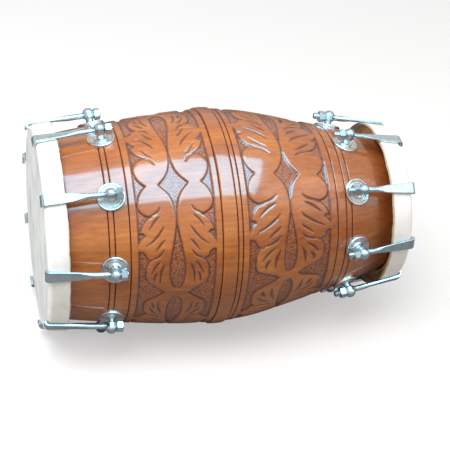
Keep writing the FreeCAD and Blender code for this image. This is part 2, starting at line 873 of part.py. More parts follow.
def cross_hole(body, end):
    """The eye itself, bored through the head along the rod."""
    sketch = new_sketch(body, end + "_eye", "YZ_Plane")
    slope = FreeCAD.Rotation(FreeCAD.Vector(0, 1, 0), worked[end + "_rod_slope"])
    centre = FreeCAD.Vector(worked[end + "_eye_place"], 0, worked[end + "_eye_radius"])
    wanted = FreeCAD.Placement(centre, slope)
    plane = FreeCAD.Placement(FreeCAD.Vector(), FreeCAD.Rotation(FreeCAD.Vector(1, 1, 1), 120))
    sketch.AttachmentOffset = plane.inverse().multiply(wanted).multiply(plane)
    circle(sketch, "sizes.thread_radius + sizes.eye_hole_clearance")
    length = "2 * (sizes.eye_head_radius + sizes.overrun)"
    return extrude(body, sketch, length, "PartDesign::Pocket", both_ways=True)


def make_cup_washers(end):
    """Nine pressed cup washers, each a rolled rim round a dish and a boss."""
    body = new_body(end + "_cup_washers")
    bore = "sizes.shank_radius + sizes.cup_hole_clearance"
    base = "sizes.seat_clearance"
    metal = "sizes.cup_metal"
    rim_inside = "sizes.cup_radius - sizes.cup_rim_width"
    sketch = lug_sketch(body, end + "_cup_outline", end)
    outline(
        sketch,
        [
            (bore, base),
            ("sizes.cup_radius", base),
            ("sizes.cup_radius", f"{base} + sizes.cup_rim_height - {metal} / 2"),
            (f"sizes.cup_radius - {metal} / 2", f"{base} + sizes.cup_rim_height"),
            (rim_inside, f"{base} + sizes.cup_rim_height - {metal} / 2"),
            ("worked.cup_dish_radius", f"{base} + {metal}"),
            ("sizes.cup_boss_radius", "sizes.cup_boss_height"),
            (bore, "sizes.cup_boss_height"),
        ],
    )
    cup = revolve(body, sketch, "V_Axis")
    ring_of(body, [cup], end + "_cup_ring")
    settle(body, end_placement(end))
    return body


def make_inner_washers(end):
    """Nine plain washers inside the shell, resting on the hollowed wall."""
    body = new_body(end + "_inner_washers")
    seat = f"worked.{end}_inner_seat"
    bore = "sizes.shank_radius + sizes.cup_hole_clearance"
    sketch = lug_sketch(body, end + "_washer_outline", end)
    rectangle(sketch, bore, "sizes.inner_washer_radius", f"{seat} - sizes.inner_washer_thickness", seat)
    washer = revolve(body, sketch, "V_Axis")
    ring_of(body, [washer], end + "_washer_ring")
    settle(body, end_placement(end))
    return body


def make_inner_nuts(end):
    """Nine hexagon nuts that clamp the eyebolts from inside."""
    body = new_body(end + "_inner_nuts")
    sketch = new_sketch(body, end + "_inner_nut_outline", "XY_Plane")
    lean = FreeCAD.Rotation(FreeCAD.Vector(0, 1, 0), worked[end + "_lean"])
    depth = worked[end + "_inner_seat"] - SIZES["inner_washer_thickness"]
    seat = FreeCAD.Vector(worked[end + "_lug_place"], 0, worked[end + "_seat_radius"])
    centre = seat + lean.multVec(FreeCAD.Vector(0, 0, depth))
    sketch.AttachmentOffset = FreeCAD.Placement(centre, lean)
    hexagon(sketch, "sizes.nut_across_flats")
    circle(sketch, "sizes.shank_radius + sizes.seat_clearance")
    nut = extrude(body, sketch, "sizes.inner_nut_thickness", reverse=True)
    ring_of(body, [nut], end + "_inner_nut_ring")
    settle(body, end_placement(end))
    return body


# Hooks and tuning nuts
def lug_placement(end, index):
    """From a lug's own frame, at its eye with X along the rod, to the drum's."""
    slope = FreeCAD.Rotation(FreeCAD.Vector(0, 1, 0), worked[end + "_rod_slope"])
    eye = FreeCAD.Vector(worked[end + "_eye_place"], 0, worked[end + "_eye_radius"])
    step = 360 / LUGS * index
    round_axis = FreeCAD.Rotation(FreeCAD.Vector(1, 0, 0), -step if end == BASS else step)
    row = FreeCAD.Placement(FreeCAD.Vector(), round_axis)
    return end_placement(end).multiply(row).multiply(FreeCAD.Placement(eye, slope))


def cross_section(body, name, place):
    """A sketch square to the rod, at a place along it."""
    sketch = new_sketch(body, name, "YZ_Plane")
    sketch.setExpression("AttachmentOffset.Base.z", place)
    return sketch


def strip_section(sketch, low="-sizes.strip_thickness / 2"):
    half = "sizes.strip_width / 2"
    rectangle(sketch, f"-{half}", half, low, "sizes.strip_thickness / 2")


def make_hook(end, index):
    """One hook bolt: thread, rod, the flattened strip and the claw over the rim."""
    name = f"{end}_hook_{index + 1}"
    body = new_body(name)
    tail = f"-(worked.eye_flat + sizes.nut_seat_clearance + sizes.nut_thickness + sizes.{end}_rod_tail)"
    thread = cross_section(body, name + "_thread", tail)
    circle(thread, "sizes.thread_radius")
    extrude(body, thread, f"sizes.thread_past_eye - ({tail})")

    twist_start = f"worked.{end}_twist_start"
    rod = cross_section(body, name + "_rod", "sizes.thread_past_eye")
    circle(rod, "sizes.rod_radius")
    extrude(body, rod, f"{twist_start} - sizes.thread_past_eye")

    round_end = cross_section(body, name + "_round_end", twist_start)
    circle(round_end, "sizes.rod_radius")
    flat_end = cross_section(body, name + "_flat_end", f"worked.{end}_strip_start")
    strip_section(flat_end)
    doc.recompute()
    twist = body.newObject("PartDesign::AdditiveLoft", name + "_twist")
    twist.Profile = round_end
    twist.Sections = [flat_end]

    strip = cross_section(body, name + "_strip", f"worked.{end}_strip_start")
    strip_section(strip)
    reach = f"worked.{end}_claw_start - worked.{end}_strip_start + sizes.strip_thickness"
    extrude(body, strip, reach)

    claw = cross_section(body, name + "_claw", f"worked.{end}_claw_start")
    strip_section(claw, "sizes.strip_thickness / 2 - sizes.claw_reach")
    body.Tip = extrude(body, claw, "sizes.strip_thickness")
    body.Placement = lug_placement(end, index)
    return body


def make_nut(end, index):
    """One tuning nut, on the side of the eye away from the head."""
    name = f"{end}_nut_{index + 1}"
    body = new_body(name)
    seat = "-(worked.eye_flat + sizes.nut_seat_clearance)"
    sketch = cross_section(body, name + "_outline", seat)
    hexagon(sketch, "sizes.nut_across_flats")
    circle(sketch, "sizes.thread_radius + sizes.nut_running_clearance")
    body.Tip = extrude(body, sketch, "sizes.nut_thickness", reverse=True)
    body.Placement = lug_placement(end, index)
    return body


make_shell()
make_paste()
for end_name in ENDS:
    make_skin(end_name)
    make_hoop(end_name)
    make_eyebolts(end_name)
    make_cup_washers(end_name)
    make_inner_washers(end_name)
    make_inner_nuts(end_name)
    for lug_index in range(LUGS):
        make_hook(end_name, lug_index)
        make_nut(end_name, lug_index)
doc.recompute()


def check_document():
    """Stop before writing if any object failed or any sub-part is unsound."""
    for item in doc.Objects:
        if "Invalid" in item.State or "Error" in item.State:
            raise RuntimeError(f"{item.Label} did not build: {item.State}")
    for item in made:
        shape = item.Shape
        if shape.isNull() or not shape.isValid() or not shape.Solids:
            raise RuntimeError(f"{item.Label} is not a sound solid")


check_document()
os.makedirs("parts", exist_ok=True)
for sub_part in made:
    sub_part.Shape.exportStep(os.path.join("parts", sub_part.Label + ".step"))
    solids = len(sub_part.Shape.Solids)
    print(f"{sub_part.Label}: {solids} solids, {sub_part.Shape.Volume:.0f} mm3")
for end_name in ENDS:
    eye = [worked[f"{end_name}_{name}"] for name in ("eye_place", "eye_radius", "rod_slope", "lean")]
    print(end_name, "eye place, eye radius, rod slope, lean:", [round(number, 4) for number in eye])
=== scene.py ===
# %% [markdown]
# # A dholak, dressed for its portrait
# This lesson takes the plain CAD model of a dholak, a barrel drum with two
# heads, and gives it the surfaces that the real drum has: a carved and
# varnished shell, skins lapped over hoops, and plated hooks and nuts. The CAD
# model is the frame. Nothing here moves or resizes it, so every new piece is
# worked out from the same sizes, in millimetres, and written in metres.

import json
import math

import bmesh
import bpy
import numpy as np
from mathutils import Matrix, Vector

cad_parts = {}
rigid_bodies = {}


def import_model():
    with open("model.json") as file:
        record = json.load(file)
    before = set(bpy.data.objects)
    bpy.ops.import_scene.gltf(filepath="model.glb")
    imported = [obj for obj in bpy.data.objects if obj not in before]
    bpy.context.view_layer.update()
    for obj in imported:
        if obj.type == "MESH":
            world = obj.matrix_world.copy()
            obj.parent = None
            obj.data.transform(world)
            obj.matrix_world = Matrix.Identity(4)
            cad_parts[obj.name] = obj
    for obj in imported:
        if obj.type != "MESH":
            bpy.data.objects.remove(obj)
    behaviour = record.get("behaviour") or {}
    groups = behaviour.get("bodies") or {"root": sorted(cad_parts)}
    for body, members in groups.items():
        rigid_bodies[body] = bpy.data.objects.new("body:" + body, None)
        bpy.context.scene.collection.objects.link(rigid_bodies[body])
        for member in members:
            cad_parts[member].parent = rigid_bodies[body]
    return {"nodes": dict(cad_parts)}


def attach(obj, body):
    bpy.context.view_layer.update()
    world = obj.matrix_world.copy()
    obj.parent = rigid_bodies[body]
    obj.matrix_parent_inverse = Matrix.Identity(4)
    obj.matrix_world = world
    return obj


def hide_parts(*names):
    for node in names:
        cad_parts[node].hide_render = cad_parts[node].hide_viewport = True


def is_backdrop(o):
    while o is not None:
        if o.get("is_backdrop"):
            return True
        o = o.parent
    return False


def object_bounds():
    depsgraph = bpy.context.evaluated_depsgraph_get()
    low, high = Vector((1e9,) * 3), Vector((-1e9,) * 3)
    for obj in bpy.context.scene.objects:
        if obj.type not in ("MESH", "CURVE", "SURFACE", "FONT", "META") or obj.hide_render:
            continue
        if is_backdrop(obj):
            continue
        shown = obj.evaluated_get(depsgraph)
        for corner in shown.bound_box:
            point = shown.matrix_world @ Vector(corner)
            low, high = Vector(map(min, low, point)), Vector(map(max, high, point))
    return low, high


for item in list(bpy.data.objects):
    bpy.data.objects.remove(item)
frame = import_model()
cad_box = [list(corner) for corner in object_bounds()]

# %% [markdown]
# ## The drum's sizes
# A drum maker turns the shell to two curves on each side: a round belly and a
# flatter side. The same two arcs give every other place on the drum, because
# the hooks, washers and grooves all sit on that curve. Keeping the arcs in one
# small class lets any later cell ask how wide the wood is at a place, and how
# far it leans towards the head.

# %% Sizes shared by the whole drum, in millimetres
MM = 0.001
LUGS = 9
BASS = "bass"
TREBLE = "treble"
SIGNS = {BASS: -1, TREBLE: 1}
FACINGS = {BASS: math.pi, TREBLE: 0.0}
FACE = 230.0
SKIN = 1.6
WALL = 12.0
BELLY_PLACE = -13.0
BELLY_RADIUS = 136.6
BAND_HEIGHT = 2.2
AXIS_HEIGHT = BELLY_RADIUS + BAND_HEIGHT
TAPERS = {BASS: 24.6, TREBLE: 54.1}
BELLY_ARC_SHARES = {BASS: 0.63, TREBLE: 0.495}
SIDE_ARC_SHARES = {BASS: 2.15, TREBLE: 4.06}
LUG_PLACES = {BASS: 151.5, TREBLE: 157.0}
ROW_TURNS = {BASS: 0.0, TREBLE: 5.5}
EYE_HEIGHT = 13.5
RIMS = {BASS: 129.0, TREBLE: 103.6}
RIM_ROUND = 6.0
SKIRTS = {BASS: 25.5, TREBLE: 27.5}
STRIP_THICKNESS = 3.5
CLAW_CLEARANCE = 0.3


class Side:
    """One half of the barrel: a belly arc and a side arc, outwards from the middle."""

    def __init__(self, end):
        self.belly = SIGNS[end] * BELLY_PLACE
        fall = TAPERS[end]
        run = FACE - SKIN - self.belly
        plain_arc = (run**2 + fall**2) / (2 * fall)
        self.belly_arc = BELLY_ARC_SHARES[end] * plain_arc
        self.side_arc = SIDE_ARC_SHARES[end] * plain_arc
        beyond = self.side_arc - self.belly_arc
        away = math.hypot(run, self.belly_arc - fall)
        along = (self.side_arc**2 - beyond**2 - away**2) / (2 * beyond)
        turn = math.atan2(run, self.belly_arc - fall) - math.acos(along / away)
        self.shoulder = self.belly + self.belly_arc * math.sin(turn)
        self.belly_centre = (self.belly, BELLY_RADIUS - self.belly_arc)
        self.side_centre = (
            self.belly - beyond * math.sin(turn),
            BELLY_RADIUS - self.belly_arc - beyond * math.cos(turn),
        )

    def arc_at(self, place):
        if place < self.shoulder:
            return self.belly_centre, self.belly_arc
        return self.side_centre, self.side_arc

    def radius(self, place, depth=0.0):
        centre, arc = self.arc_at(place)
        return centre[1] + math.sqrt((arc - depth) ** 2 - (place - centre[0]) ** 2)

    def lean(self, place):
        centre, arc = self.arc_at(place)
        return math.asin((place - centre[0]) / arc)


SIDES = {end: Side(end) for end in SIGNS}


def shell_radius(place, depth=0.0):
    """How wide the shell is at a place along X, or how wide a layer inside it."""
    if place < BELLY_PLACE:
        return SIDES[BASS].radius(-place, depth)
    return SIDES[TREBLE].radius(place, depth)


print("shoulders:", {end: round(side.shoulder, 1) for end, side in SIDES.items()})

# %% [markdown]
# ## Where the eyes stand
# Each lug stands on sloping wood, so it is easiest to build its pieces lying
# along X at the origin and to carry them out afterwards. That takes the place
# of each row's eyes, the lean of the wood under them and the slope of the rods
# through them. A skin needs no more than the frame of its own end.

# %% Find the eyes and the two ends' frames
EYE = {}
for end, side in SIDES.items():
    place = LUG_PLACES[end]
    lean = side.lean(place)
    eye_place = place + EYE_HEIGHT * math.sin(lean)
    eye_radius = side.radius(place) + EYE_HEIGHT * math.cos(lean)
    strip_middle = RIMS[end] + CLAW_CLEARANCE + STRIP_THICKNESS / 2
    slope = math.atan((eye_radius - strip_middle) / (FACE - RIM_ROUND - eye_place))
    EYE[end] = {"place": eye_place, "radius": eye_radius, "slope": slope, "lean": lean}
    print(end, "eye:", {name: round(value, 4) for name, value in EYE[end].items()})


def end_matrix(end):
    """From an end's own frame, X outwards and its first lug on top, to the drum's, in mm."""
    facing = Matrix.Rotation(FACINGS[end], 4, "Z")
    row_turn = Matrix.Rotation(math.radians(ROW_TURNS[end]), 4, "X")
    return Matrix.Translation((0, 0, AXIS_HEIGHT)) @ facing @ row_turn


# %% [markdown]
# ## Turning points into meshes
# Almost everything on a drum is a ring or a bar, so almost every piece is a
# grid of points: rows along it, columns round it. One helper turns such a grid
# into a closed mesh, whatever the piece is. It measures the volume that the
# faces enclose, and if that comes out negative the faces point inwards and are
# turned over, which is the safest way to get every normal right.

# %% From a grid of points to a closed mesh
def grid_faces(rows, columns, rows_meet):
    """Quads over a grid whose columns close on themselves."""
    last = rows if rows_meet else rows - 1
    row = np.arange(last)[:, None]
    column = np.arange(columns)[None, :]
    after = (row + 1) % rows
    beside = (column + 1) % columns
    corners = [
        row * columns + column,
        row * columns + beside,
        after * columns + beside,
        after * columns + column,
    ]
    return np.stack([np.broadcast_to(c, (last, columns)) for c in corners], -1).reshape(-1, 4)


def enclosed_volume(points, faces):
    a, b, c, d = (points[faces[:, k]] for k in range(4))
    first = np.einsum("ij,ij->i", a, np.cross(b, c))
    second = np.einsum("ij,ij->i", a, np.cross(c, d))
    return float((first + second).sum()) / 6


def smooth(mesh, sharp):
    """Smooth shading, but for edges over an angle."""
    mesh.shade_smooth()
    mesh.set_sharp_from_angle(angle=math.radians(sharp))


def quad_mesh(name, points, faces, sharp):
    """A mesh of quads, turned outwards, smooth but for edges over an angle."""
    if enclosed_volume(points, faces) < 0:
        faces = faces[:, ::-1]
    mesh = bpy.data.meshes.new(name)
    mesh.vertices.add(len(points))
    mesh.vertices.foreach_set("co", points.astype(np.float32).ravel())
    mesh.loops.add(faces.size)
    mesh.loops.foreach_set("vertex_index", faces.astype(np.int32).ravel())
    mesh.polygons.add(len(faces))
    mesh.polygons.foreach_set("loop_start", np.arange(0, faces.size, 4, dtype=np.int32))
    mesh.update(calc_edges=True)
    mesh.validate()
    smooth(mesh, sharp)
    return mesh


def tidy_poles(mesh):
    """Merges the points that a capped grid heaps up at its poles."""
    work = bmesh.new()
    work.from_mesh(mesh)
    bmesh.ops.remove_doubles(work, verts=work.verts, dist=1e-7)
    bmesh.ops.dissolve_degenerate(work, edges=work.edges, dist=1e-8)
    work.to_mesh(mesh)
    work.free()


def grid_mesh(name, grid, rows_meet=False, sharp=40):
    """A closed mesh from a grid of points in millimetres, capped where it ends."""
    if not rows_meet:
        caps = [np.broadcast_to(grid[k].mean(0), grid[k].shape) for k in (0, -1)]
        grid = np.concatenate([caps[0][None], grid, caps[1][None]])
    rows, columns = grid.shape[:2]
    points = grid.reshape(-1, 3) * MM
    mesh = quad_mesh(name, points, grid_faces(rows, columns, rows_meet), sharp)
    if not rows_meet:
        tidy_poles(mesh)
    return mesh


print("faces in a closed grid of 4 by 6 points:", len(grid_faces(4, 6, True)))

# %% [markdown]
# ## Putting a piece on its body
# A finished mesh has three things to say: which body carries it, which nodes of
# the CAD model it stands for, and its material, where it brings one. One function
# says all three each time, so that no piece can miss one.

# %% Show a piece
def placed(name, data):
    """A new object in the scene."""
    item = bpy.data.objects.new(name, data)
    bpy.context.scene.collection.objects.link(item)
    return item


def show(name, mesh, material, body, slot, *nodes):
    """Puts a finished mesh in the scene, on its body, for the nodes it stands for."""
    piece = placed(name, mesh)
    if material:
        mesh.materials.clear()
        mesh.materials.append(material)
    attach(piece, body)
    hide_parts(*nodes)
    print(name, len(mesh.polygons), "faces")


# %% [markdown]
# ## One way to add a shader node
# A material is a small network of nodes. One function adds any node, sets its
# own settings and fills its inputs, from a value, a colour or another node's
# output. Colours are chosen as sRGB hex values, the way a paint chart
# gives them, and one function turns them to the linear light that Blender
# mixes in.

# %% Nodes and colours
def colour(hex_value):
    """An sRGB hex colour as linear RGBA."""
    channels = [int(hex_value[k : k + 2], 16) / 255 for k in (1, 3, 5)]
    linear = [c / 12.92 if c <= 0.04045 else ((c + 0.055) / 1.055) ** 2.4 for c in channels]
    return (*linear, 1.0)


def fill(tree, node, inputs):
    """Fills a node's inputs from values and hex colours, or links them to sockets."""
    for name, value in inputs.items():
        if isinstance(value, bpy.types.NodeSocket):
            tree.links.new(value, node.inputs[name])
        else:
            plain = colour(value) if isinstance(value, str) else value
            node.inputs[name].default_value = plain


def add(tree, kind, inputs=None, **settings):
    """Adds a node, sets what it is, and fills or links its inputs."""
    node = tree.nodes.new(kind)
    for name, value in settings.items():
        setattr(node, name, value)
    fill(tree, node, inputs or {})
    return node


def ramp(tree, factor, *stops):
    """A colour ramp from (place, hex colour) pairs."""
    node = add(tree, "ShaderNodeValToRGB", {"Fac": factor})
    elements = node.color_ramp.elements
    while len(elements) < len(stops):
        elements.new(0.5)
    for element, (place, tone) in zip(elements, stops):
        element.position = place
        element.color = colour(tone)
    return node.outputs["Color"]


def blend(tree, factor, first, second, mode="MIX"):
    """Mixes two colours and gives the result's socket."""
    node = add(tree, "ShaderNodeMix", {0: factor, 6: first, 7: second}, data_type="RGBA")
    node.blend_type = mode
    return node.outputs[2]


def sums(tree, operation, *values):
    """Arithmetic on numbers, and gives the result's socket."""
    node = add(tree, "ShaderNodeMath", dict(enumerate(values)), operation=operation)
    return node.outputs[0]


def new_finish(name):
    """An empty material with its shader and the object's own coordinates."""
    finish = bpy.data.materials.new(name)
    finish.use_nodes = True
    tree = finish.node_tree
    tree.nodes.clear()
    shader = add(tree, "ShaderNodeBsdfPrincipled")
    add(tree, "ShaderNodeOutputMaterial", {"Surface": shader.outputs[0]})
    place = add(tree, "ShaderNodeTexCoord").outputs["Object"]
    return finish, tree, shader, place


def stretched(tree, place, scale):
    """The object's coordinates, scaled unevenly so that a pattern runs one way."""
    return add(tree, "ShaderNodeMapping", {"Vector": place, "Scale": scale}).outputs[0]


def noise(tree, vector, per_metre, detail=2.0, rough=0.5, warp=0.0):
    """Noise with so many waves to the metre."""
    settings = {"Vector": vector, "Scale": per_metre, "Detail": detail}
    settings.update({"Roughness": rough, "Distortion": warp})
    return add(tree, "ShaderNodeTexNoise", settings).outputs[0]


def bumped(tree, shader, height, millimetres, strength=1.0):
    """Gives the shader bumps as high as so many millimetres."""
    values = {"Height": height, "Distance": millimetres * MM, "Strength": strength}
    fill(tree, shader, {"Normal": add(tree, "ShaderNodeBump", values).outputs[0]})


print("a mid grey, #808080, is", round(colour("#808080")[0], 3), "in linear light")

# %% [markdown]
# ## The camera
# The photograph looks down on the drum from the front and a little to the
# left. The drum's two rows of grooves and its washers fixed the camera: where
# it stands, how it is turned, and how long its lens is.

# %% Stand the camera where the photograph was taken
CAMERA_TURNS = (13.4666, -0.5203, -4.3081)
CAMERA_SPOT = (-360.03, -1549.83, 0)
CAMERA_RISE = 36.45
LENS = 98.8


def stand_camera():
    """Aims by yaw, pitch and roll level with the drum, then swings up over it."""
    yaw, pitch, roll = (math.radians(turn) for turn in CAMERA_TURNS)
    level = math.cos(pitch)
    forward = Vector((math.sin(yaw) * level, math.cos(yaw) * level, math.sin(pitch)))
    right = Vector((math.cos(yaw), -math.sin(yaw), 0))
    up = right.cross(forward)
    rolled_right = right * math.cos(roll) + up * math.sin(roll)
    rolled_up = -right * math.sin(roll) + up * math.cos(roll)
    swing = Matrix.Rotation(math.radians(-CAMERA_RISE), 3, "X")
    columns = [swing @ v for v in (rolled_right, rolled_up, -forward)]
    turn = Matrix(columns).transposed()
    spot = swing @ Vector(CAMERA_SPOT) + Vector((0, 0, AXIS_HEIGHT))
    camera = placed("camera", bpy.data.cameras.new("camera"))
    camera.matrix_world = Matrix.Translation(spot * MM) @ turn.to_4x4()
    camera.data.sensor_width = 36.0
    camera.data.lens = LENS
    camera.data.clip_start = 0.05
    bpy.context.scene.camera = camera
    print("camera at", [round(v, 3) for v in camera.matrix_world.translation])


stand_camera()

# %% [markdown]
# ## Nine of everything: a node tree that repeats a piece
# A dholak is laced or bolted at even steps round its heads, and every lug is
# the same. So one washer is modelled, and a node tree makes nine of it. The
# tree follows the maker's own steps: lean the piece with the wood, carry it
# out to the wood, turn it round the drum to its lug, face it to its end, and
# lift the drum to its height above the floor. The same tree with a count of
# one places each hook and nut, which move on their own and so need to be
# pieces of their own.

# %% Build the repeating tree
def repeat_tree():
    """The node tree, with a socket for each size that differs between pieces and ends."""
    tree = bpy.data.node_groups.new("repeat_round_axis", "GeometryNodeTree")
    sockets = {"Piece": "Geometry", "Count": "Int", "Finish": "Material"}
    measures = ("Lean", "Place", "Radius", "First Turn", "Step", "Facing", "Axis Height")
    sockets.update(dict.fromkeys(measures, "Float"))
    for name, kind in sockets.items():
        tree.interface.new_socket(name, in_out="INPUT", socket_type="NodeSocket" + kind)
    tree.interface.new_socket("Ring", in_out="OUTPUT", socket_type="NodeSocketGeometry")
    given = add(tree, "NodeGroupInput").outputs

    points = add(tree, "GeometryNodeMeshLine", {"Count": given["Count"], "Offset": (0, 0, 0)})
    wired = {"Points": points.outputs[0], "Instance": given["Piece"]}
    pieces = add(tree, "GeometryNodeInstanceOnPoints", wired).outputs[0]

    def turned(pieces, **angles):
        turn = add(tree, "ShaderNodeCombineXYZ", angles).outputs[0]
        wired = {"Instances": pieces, "Rotation": turn, "Local Space": False}
        return add(tree, "GeometryNodeRotateInstances", wired).outputs[0]

    def carried(pieces, **steps):
        step = add(tree, "ShaderNodeCombineXYZ", steps).outputs[0]
        wired = {"Instances": pieces, "Translation": step, "Local Space": False}
        return add(tree, "GeometryNodeTranslateInstances", wired).outputs[0]

    index = add(tree, "GeometryNodeInputIndex").outputs[0]
    round_drum = sums(tree, "MULTIPLY_ADD", index, given["Step"], given["First Turn"])
    pieces = turned(pieces, Y=given["Lean"])
    pieces = carried(pieces, X=given["Place"], Z=given["Radius"])
    pieces = turned(pieces, X=round_drum)
    pieces = turned(pieces, Z=given["Facing"])
    pieces = carried(pieces, Z=given["Axis Height"])
    real = add(tree, "GeometryNodeRealizeInstances", {"Geometry": pieces}).outputs[0]
    done = {"Geometry": real, "Material": given["Finish"]}
    finished = add(tree, "GeometryNodeSetMaterial", done).outputs[0]
    add(tree, "NodeGroupOutput", {"Ring": finished})
    return tree


REPEAT = repeat_tree()


def settled(item):
    """The mesh that an object's modifiers make, in place of the object."""
    graph = bpy.context.evaluated_depsgraph_get()
    mesh = bpy.data.meshes.new_from_object(item.evaluated_get(graph), depsgraph=graph)
    bpy.data.objects.remove(item)
    return mesh


def repeated(name, mesh, finish, end, at_eye, first=0, count=1):
    """Runs the tree on one piece and gives back the plain mesh that it makes."""
    lug = EYE[end]
    way = SIGNS[end]
    step = math.radians(way * 360 / LUGS)
    values = {
        "Count": count,
        "Lean": lug["slope"] if at_eye else lug["lean"],
        "Place": (lug["place"] if at_eye else LUG_PLACES[end]) * MM,
        "Radius": (lug["radius"] if at_eye else SIDES[end].radius(LUG_PLACES[end])) * MM,
        "First Turn": math.radians(ROW_TURNS[end] + way * 360 / LUGS * first),
        "Step": step,
        "Facing": FACINGS[end],
        "Axis Height": AXIS_HEIGHT * MM,
        "Finish": finish,
    }
    holder = placed(name + "_source", mesh)
    modifier = holder.modifiers.new("repeat", "NODES")
    modifier.node_group = REPEAT
    for item in REPEAT.interface.items_tree:
        if item.in_out == "INPUT" and item.name in values:
            modifier[item.identifier] = values[item.name]
    made = settled(holder)
    made.name = name
    return made


print("tree nodes:", len(REPEAT.nodes))

# %% [markdown]
# ## The varnished shell
# The shell is one log of mango or rosewood, hollowed and turned, then carved
# and varnished dark. Its real layers are read from the outside in: a hard clear
# coat, a red-brown stain, and wood whose grain runs along the log. Painted shade
# darkens every groove and cut, the pits of the carved ground and the treble end.
# The stain is a mix of two noises stretched along the drum, broad ones for the
# patches that took the stain unevenly and fine ones for the pores.

# %% The varnish, the stain under it and the painted shade
def marked(tree, name):
    """A number that the mesh keeps at each of its points under this name."""
    return add(tree, "ShaderNodeAttribute", attribute_name=name).outputs["Fac"]


def make_varnish():
    """Stain over grain under varnish, with painted shade in cuts, in pits and towards the treble end.
    """
    finish, tree, shader, place = new_finish("stained_and_varnished_wood")
    carved = marked(tree, "carved")
    cut = marked(tree, "cut")
    streaks = noise(tree, stretched(tree, place, (11, 260, 260)), 1.0, 4.0, 0.6, 0.3)
    patches = noise(tree, stretched(tree, place, (8, 19, 19)), 1.0, 3.0, 0.5, 0.5)
    pores = noise(tree, stretched(tree, place, (110, 1500, 1500)), 1.0, 2.0, 0.6)
    grain = sums(tree, "MULTIPLY_ADD", streaks, 0.45, sums(tree, "MULTIPLY", patches, 0.55))
    tones = ((0.33, "#8E4A19"), (0.47, "#A85E22"), (0.58, "#B96D2A"), (0.72, "#CA7F37"))
    wood = ramp(tree, grain, *tones)
    dark_pores = ramp(tree, pores, (0.33, "#8C7C74"), (0.45, "#FFFFFF"))
    wood = blend(tree, 0.35, wood, dark_pores, "MULTIPLY")

    # Painted shadow: towards the treble end the wood is darkened as if the skin's skirt shaded it,
    # with an uneven edge
    along = add(tree, "ShaderNodeSeparateXYZ", {0: place}).outputs[0]
    uneven = sums(tree, "MULTIPLY_ADD", patches, 0.09, along)
    painted_treble_shade = ramp(tree, uneven, (0.215, "#FFFFFF"), (0.245, "#9A7466"))
    wood = blend(tree, 0.8, wood, painted_treble_shade, "MULTIPLY")

    # The punched ground has its own redder tone; the darker colour in the pits between its raised
    # beads is painted shade
    punched = {"Vector": place, "Scale": 460.0, "Randomness": 0.9}
    dots = add(tree, "ShaderNodeTexVoronoi", punched, feature="F1").outputs[0]
    fine = noise(tree, place, 850.0, 2.0, 0.6)
    ground = ramp(tree, dots, (0.1, "#C07C4C"), (0.34, "#AA6436"), (0.62, "#7C4020"))
    wood = blend(tree, carved, wood, ground)
    # Painted shade: the wood goes near black in the grooves, the cuts, the veins and where a wall
    # meets the ground
    wood = blend(tree, cut, wood, "#4A1C10")
    coat = {"Coat Weight": 1.0, "Coat Roughness": 0.1, "Coat IOR": 1.6}
    stain = {"Base Color": wood, "Roughness": 0.4, "Specular IOR Level": 0.35}
    fill(tree, shader, {**stain, **coat})
    beads = sums(tree, "MULTIPLY", sums(tree, "SUBTRACT", 1.0, dots), carved)
    waviness = sums(tree, "MULTIPLY_ADD", patches, 0.5, sums(tree, "MULTIPLY", streaks, 0.06))
    relief = sums(tree, "MULTIPLY_ADD", beads, 1.3, waviness)
    relief = sums(tree, "MULTIPLY_ADD", sums(tree, "MULTIPLY", fine, carved), 0.25, relief)
    bumped(tree, shader, relief, 0.6)
    return finish


VARNISH = make_varnish()
print("nodes in the varnish:", len(VARNISH.node_tree.nodes))

# %% [markdown]
# ## Turned rings of the shell
# The lathe leaves plain rings at both ends and a raised band round the belly,
# with V grooves cut between them. Each ring here is its own closed piece, so
# that the carved ones can have far more points than the plain ones. The rings
# meet at places where the wood is smooth, so no join shows. Each point also
# records how near it is to a groove or a foot of the band, for painted shade.

# %% Turn the three plain rings
GROOVE_DEPTH = 1.3
GROOVES = (-157.3, -150.6, -132.7, 0.8, 128.0, 140.5, 148.3)
BAND = (-24.0, -5.2)
BAND_CROWN = 0.4
# How high the band's edge stands at each distance inwards from its foot,
# before the crown raises its middle to the full 2.2 mm
BAND_EDGE = ([-1.2, -0.6, -0.3, 0, 0.4, 1, 1.6, 2.2], [0, -0.15, -0.55, -1.2, -0.4, 1.1, 1.7, 1.8])
END_PLACE = FACE - SKIN
JOINS = (-END_PLACE, -125.4, -30.4, 7.6, 119.5, END_PLACE)
PLAIN_RINGS = {"shell_bass_end": 0, "shell_belly": 2, "shell_treble_end": 4}
RING_COLUMNS = 360
BACK_ROWS = 8
ROW_STEP = 4.0
SHELL_SLOT = "varnished_wood"


def full_turn(columns):
    """The angle of each column of a ring."""
    return np.linspace(0, 2 * math.pi, columns, endpoint=False)


def round_axis(places, radius, turns):
    """Points round the X axis, from the top towards the front."""
    around = [-radius * np.sin(turns), radius * np.cos(turns)]
    return np.stack([np.broadcast_to(places, radius.shape), *around], -1)


def mark_points(mesh, name, values):
    """Keeps a number at each point, which the finish reads by its name."""
    layer = mesh.attributes.new(name, "FLOAT", "POINT")
    layer.data.foreach_set("value", values.astype(np.float32).ravel())


def ring_mesh(name, places, heights, columns, sharp, **marks):
    """A closed ring of the shell from its outside rows, with marks on its points."""
    back = np.linspace(places[-1], places[0], BACK_ROWS)
    turns = full_turn(columns)
    outer = np.array([shell_radius(place) for place in places])[:, None] + heights
    inner = np.array([shell_radius(place, WALL) for place in back])[:, None]
    layers = [np.broadcast_to(layer, (len(layer), columns)) for layer in (outer, inner)]
    radius = np.concatenate(layers)
    along = np.concatenate([places, back])[:, None]
    grid = round_axis(along, radius, turns) + (0, 0, AXIS_HEIGHT)
    mesh = grid_mesh(name, grid, rows_meet=True, sharp=sharp)
    for mark, values in marks.items():
        padded = np.zeros(radius.shape)
        padded[: len(places)] = values
        mark_points(mesh, mark, padded)
    return mesh


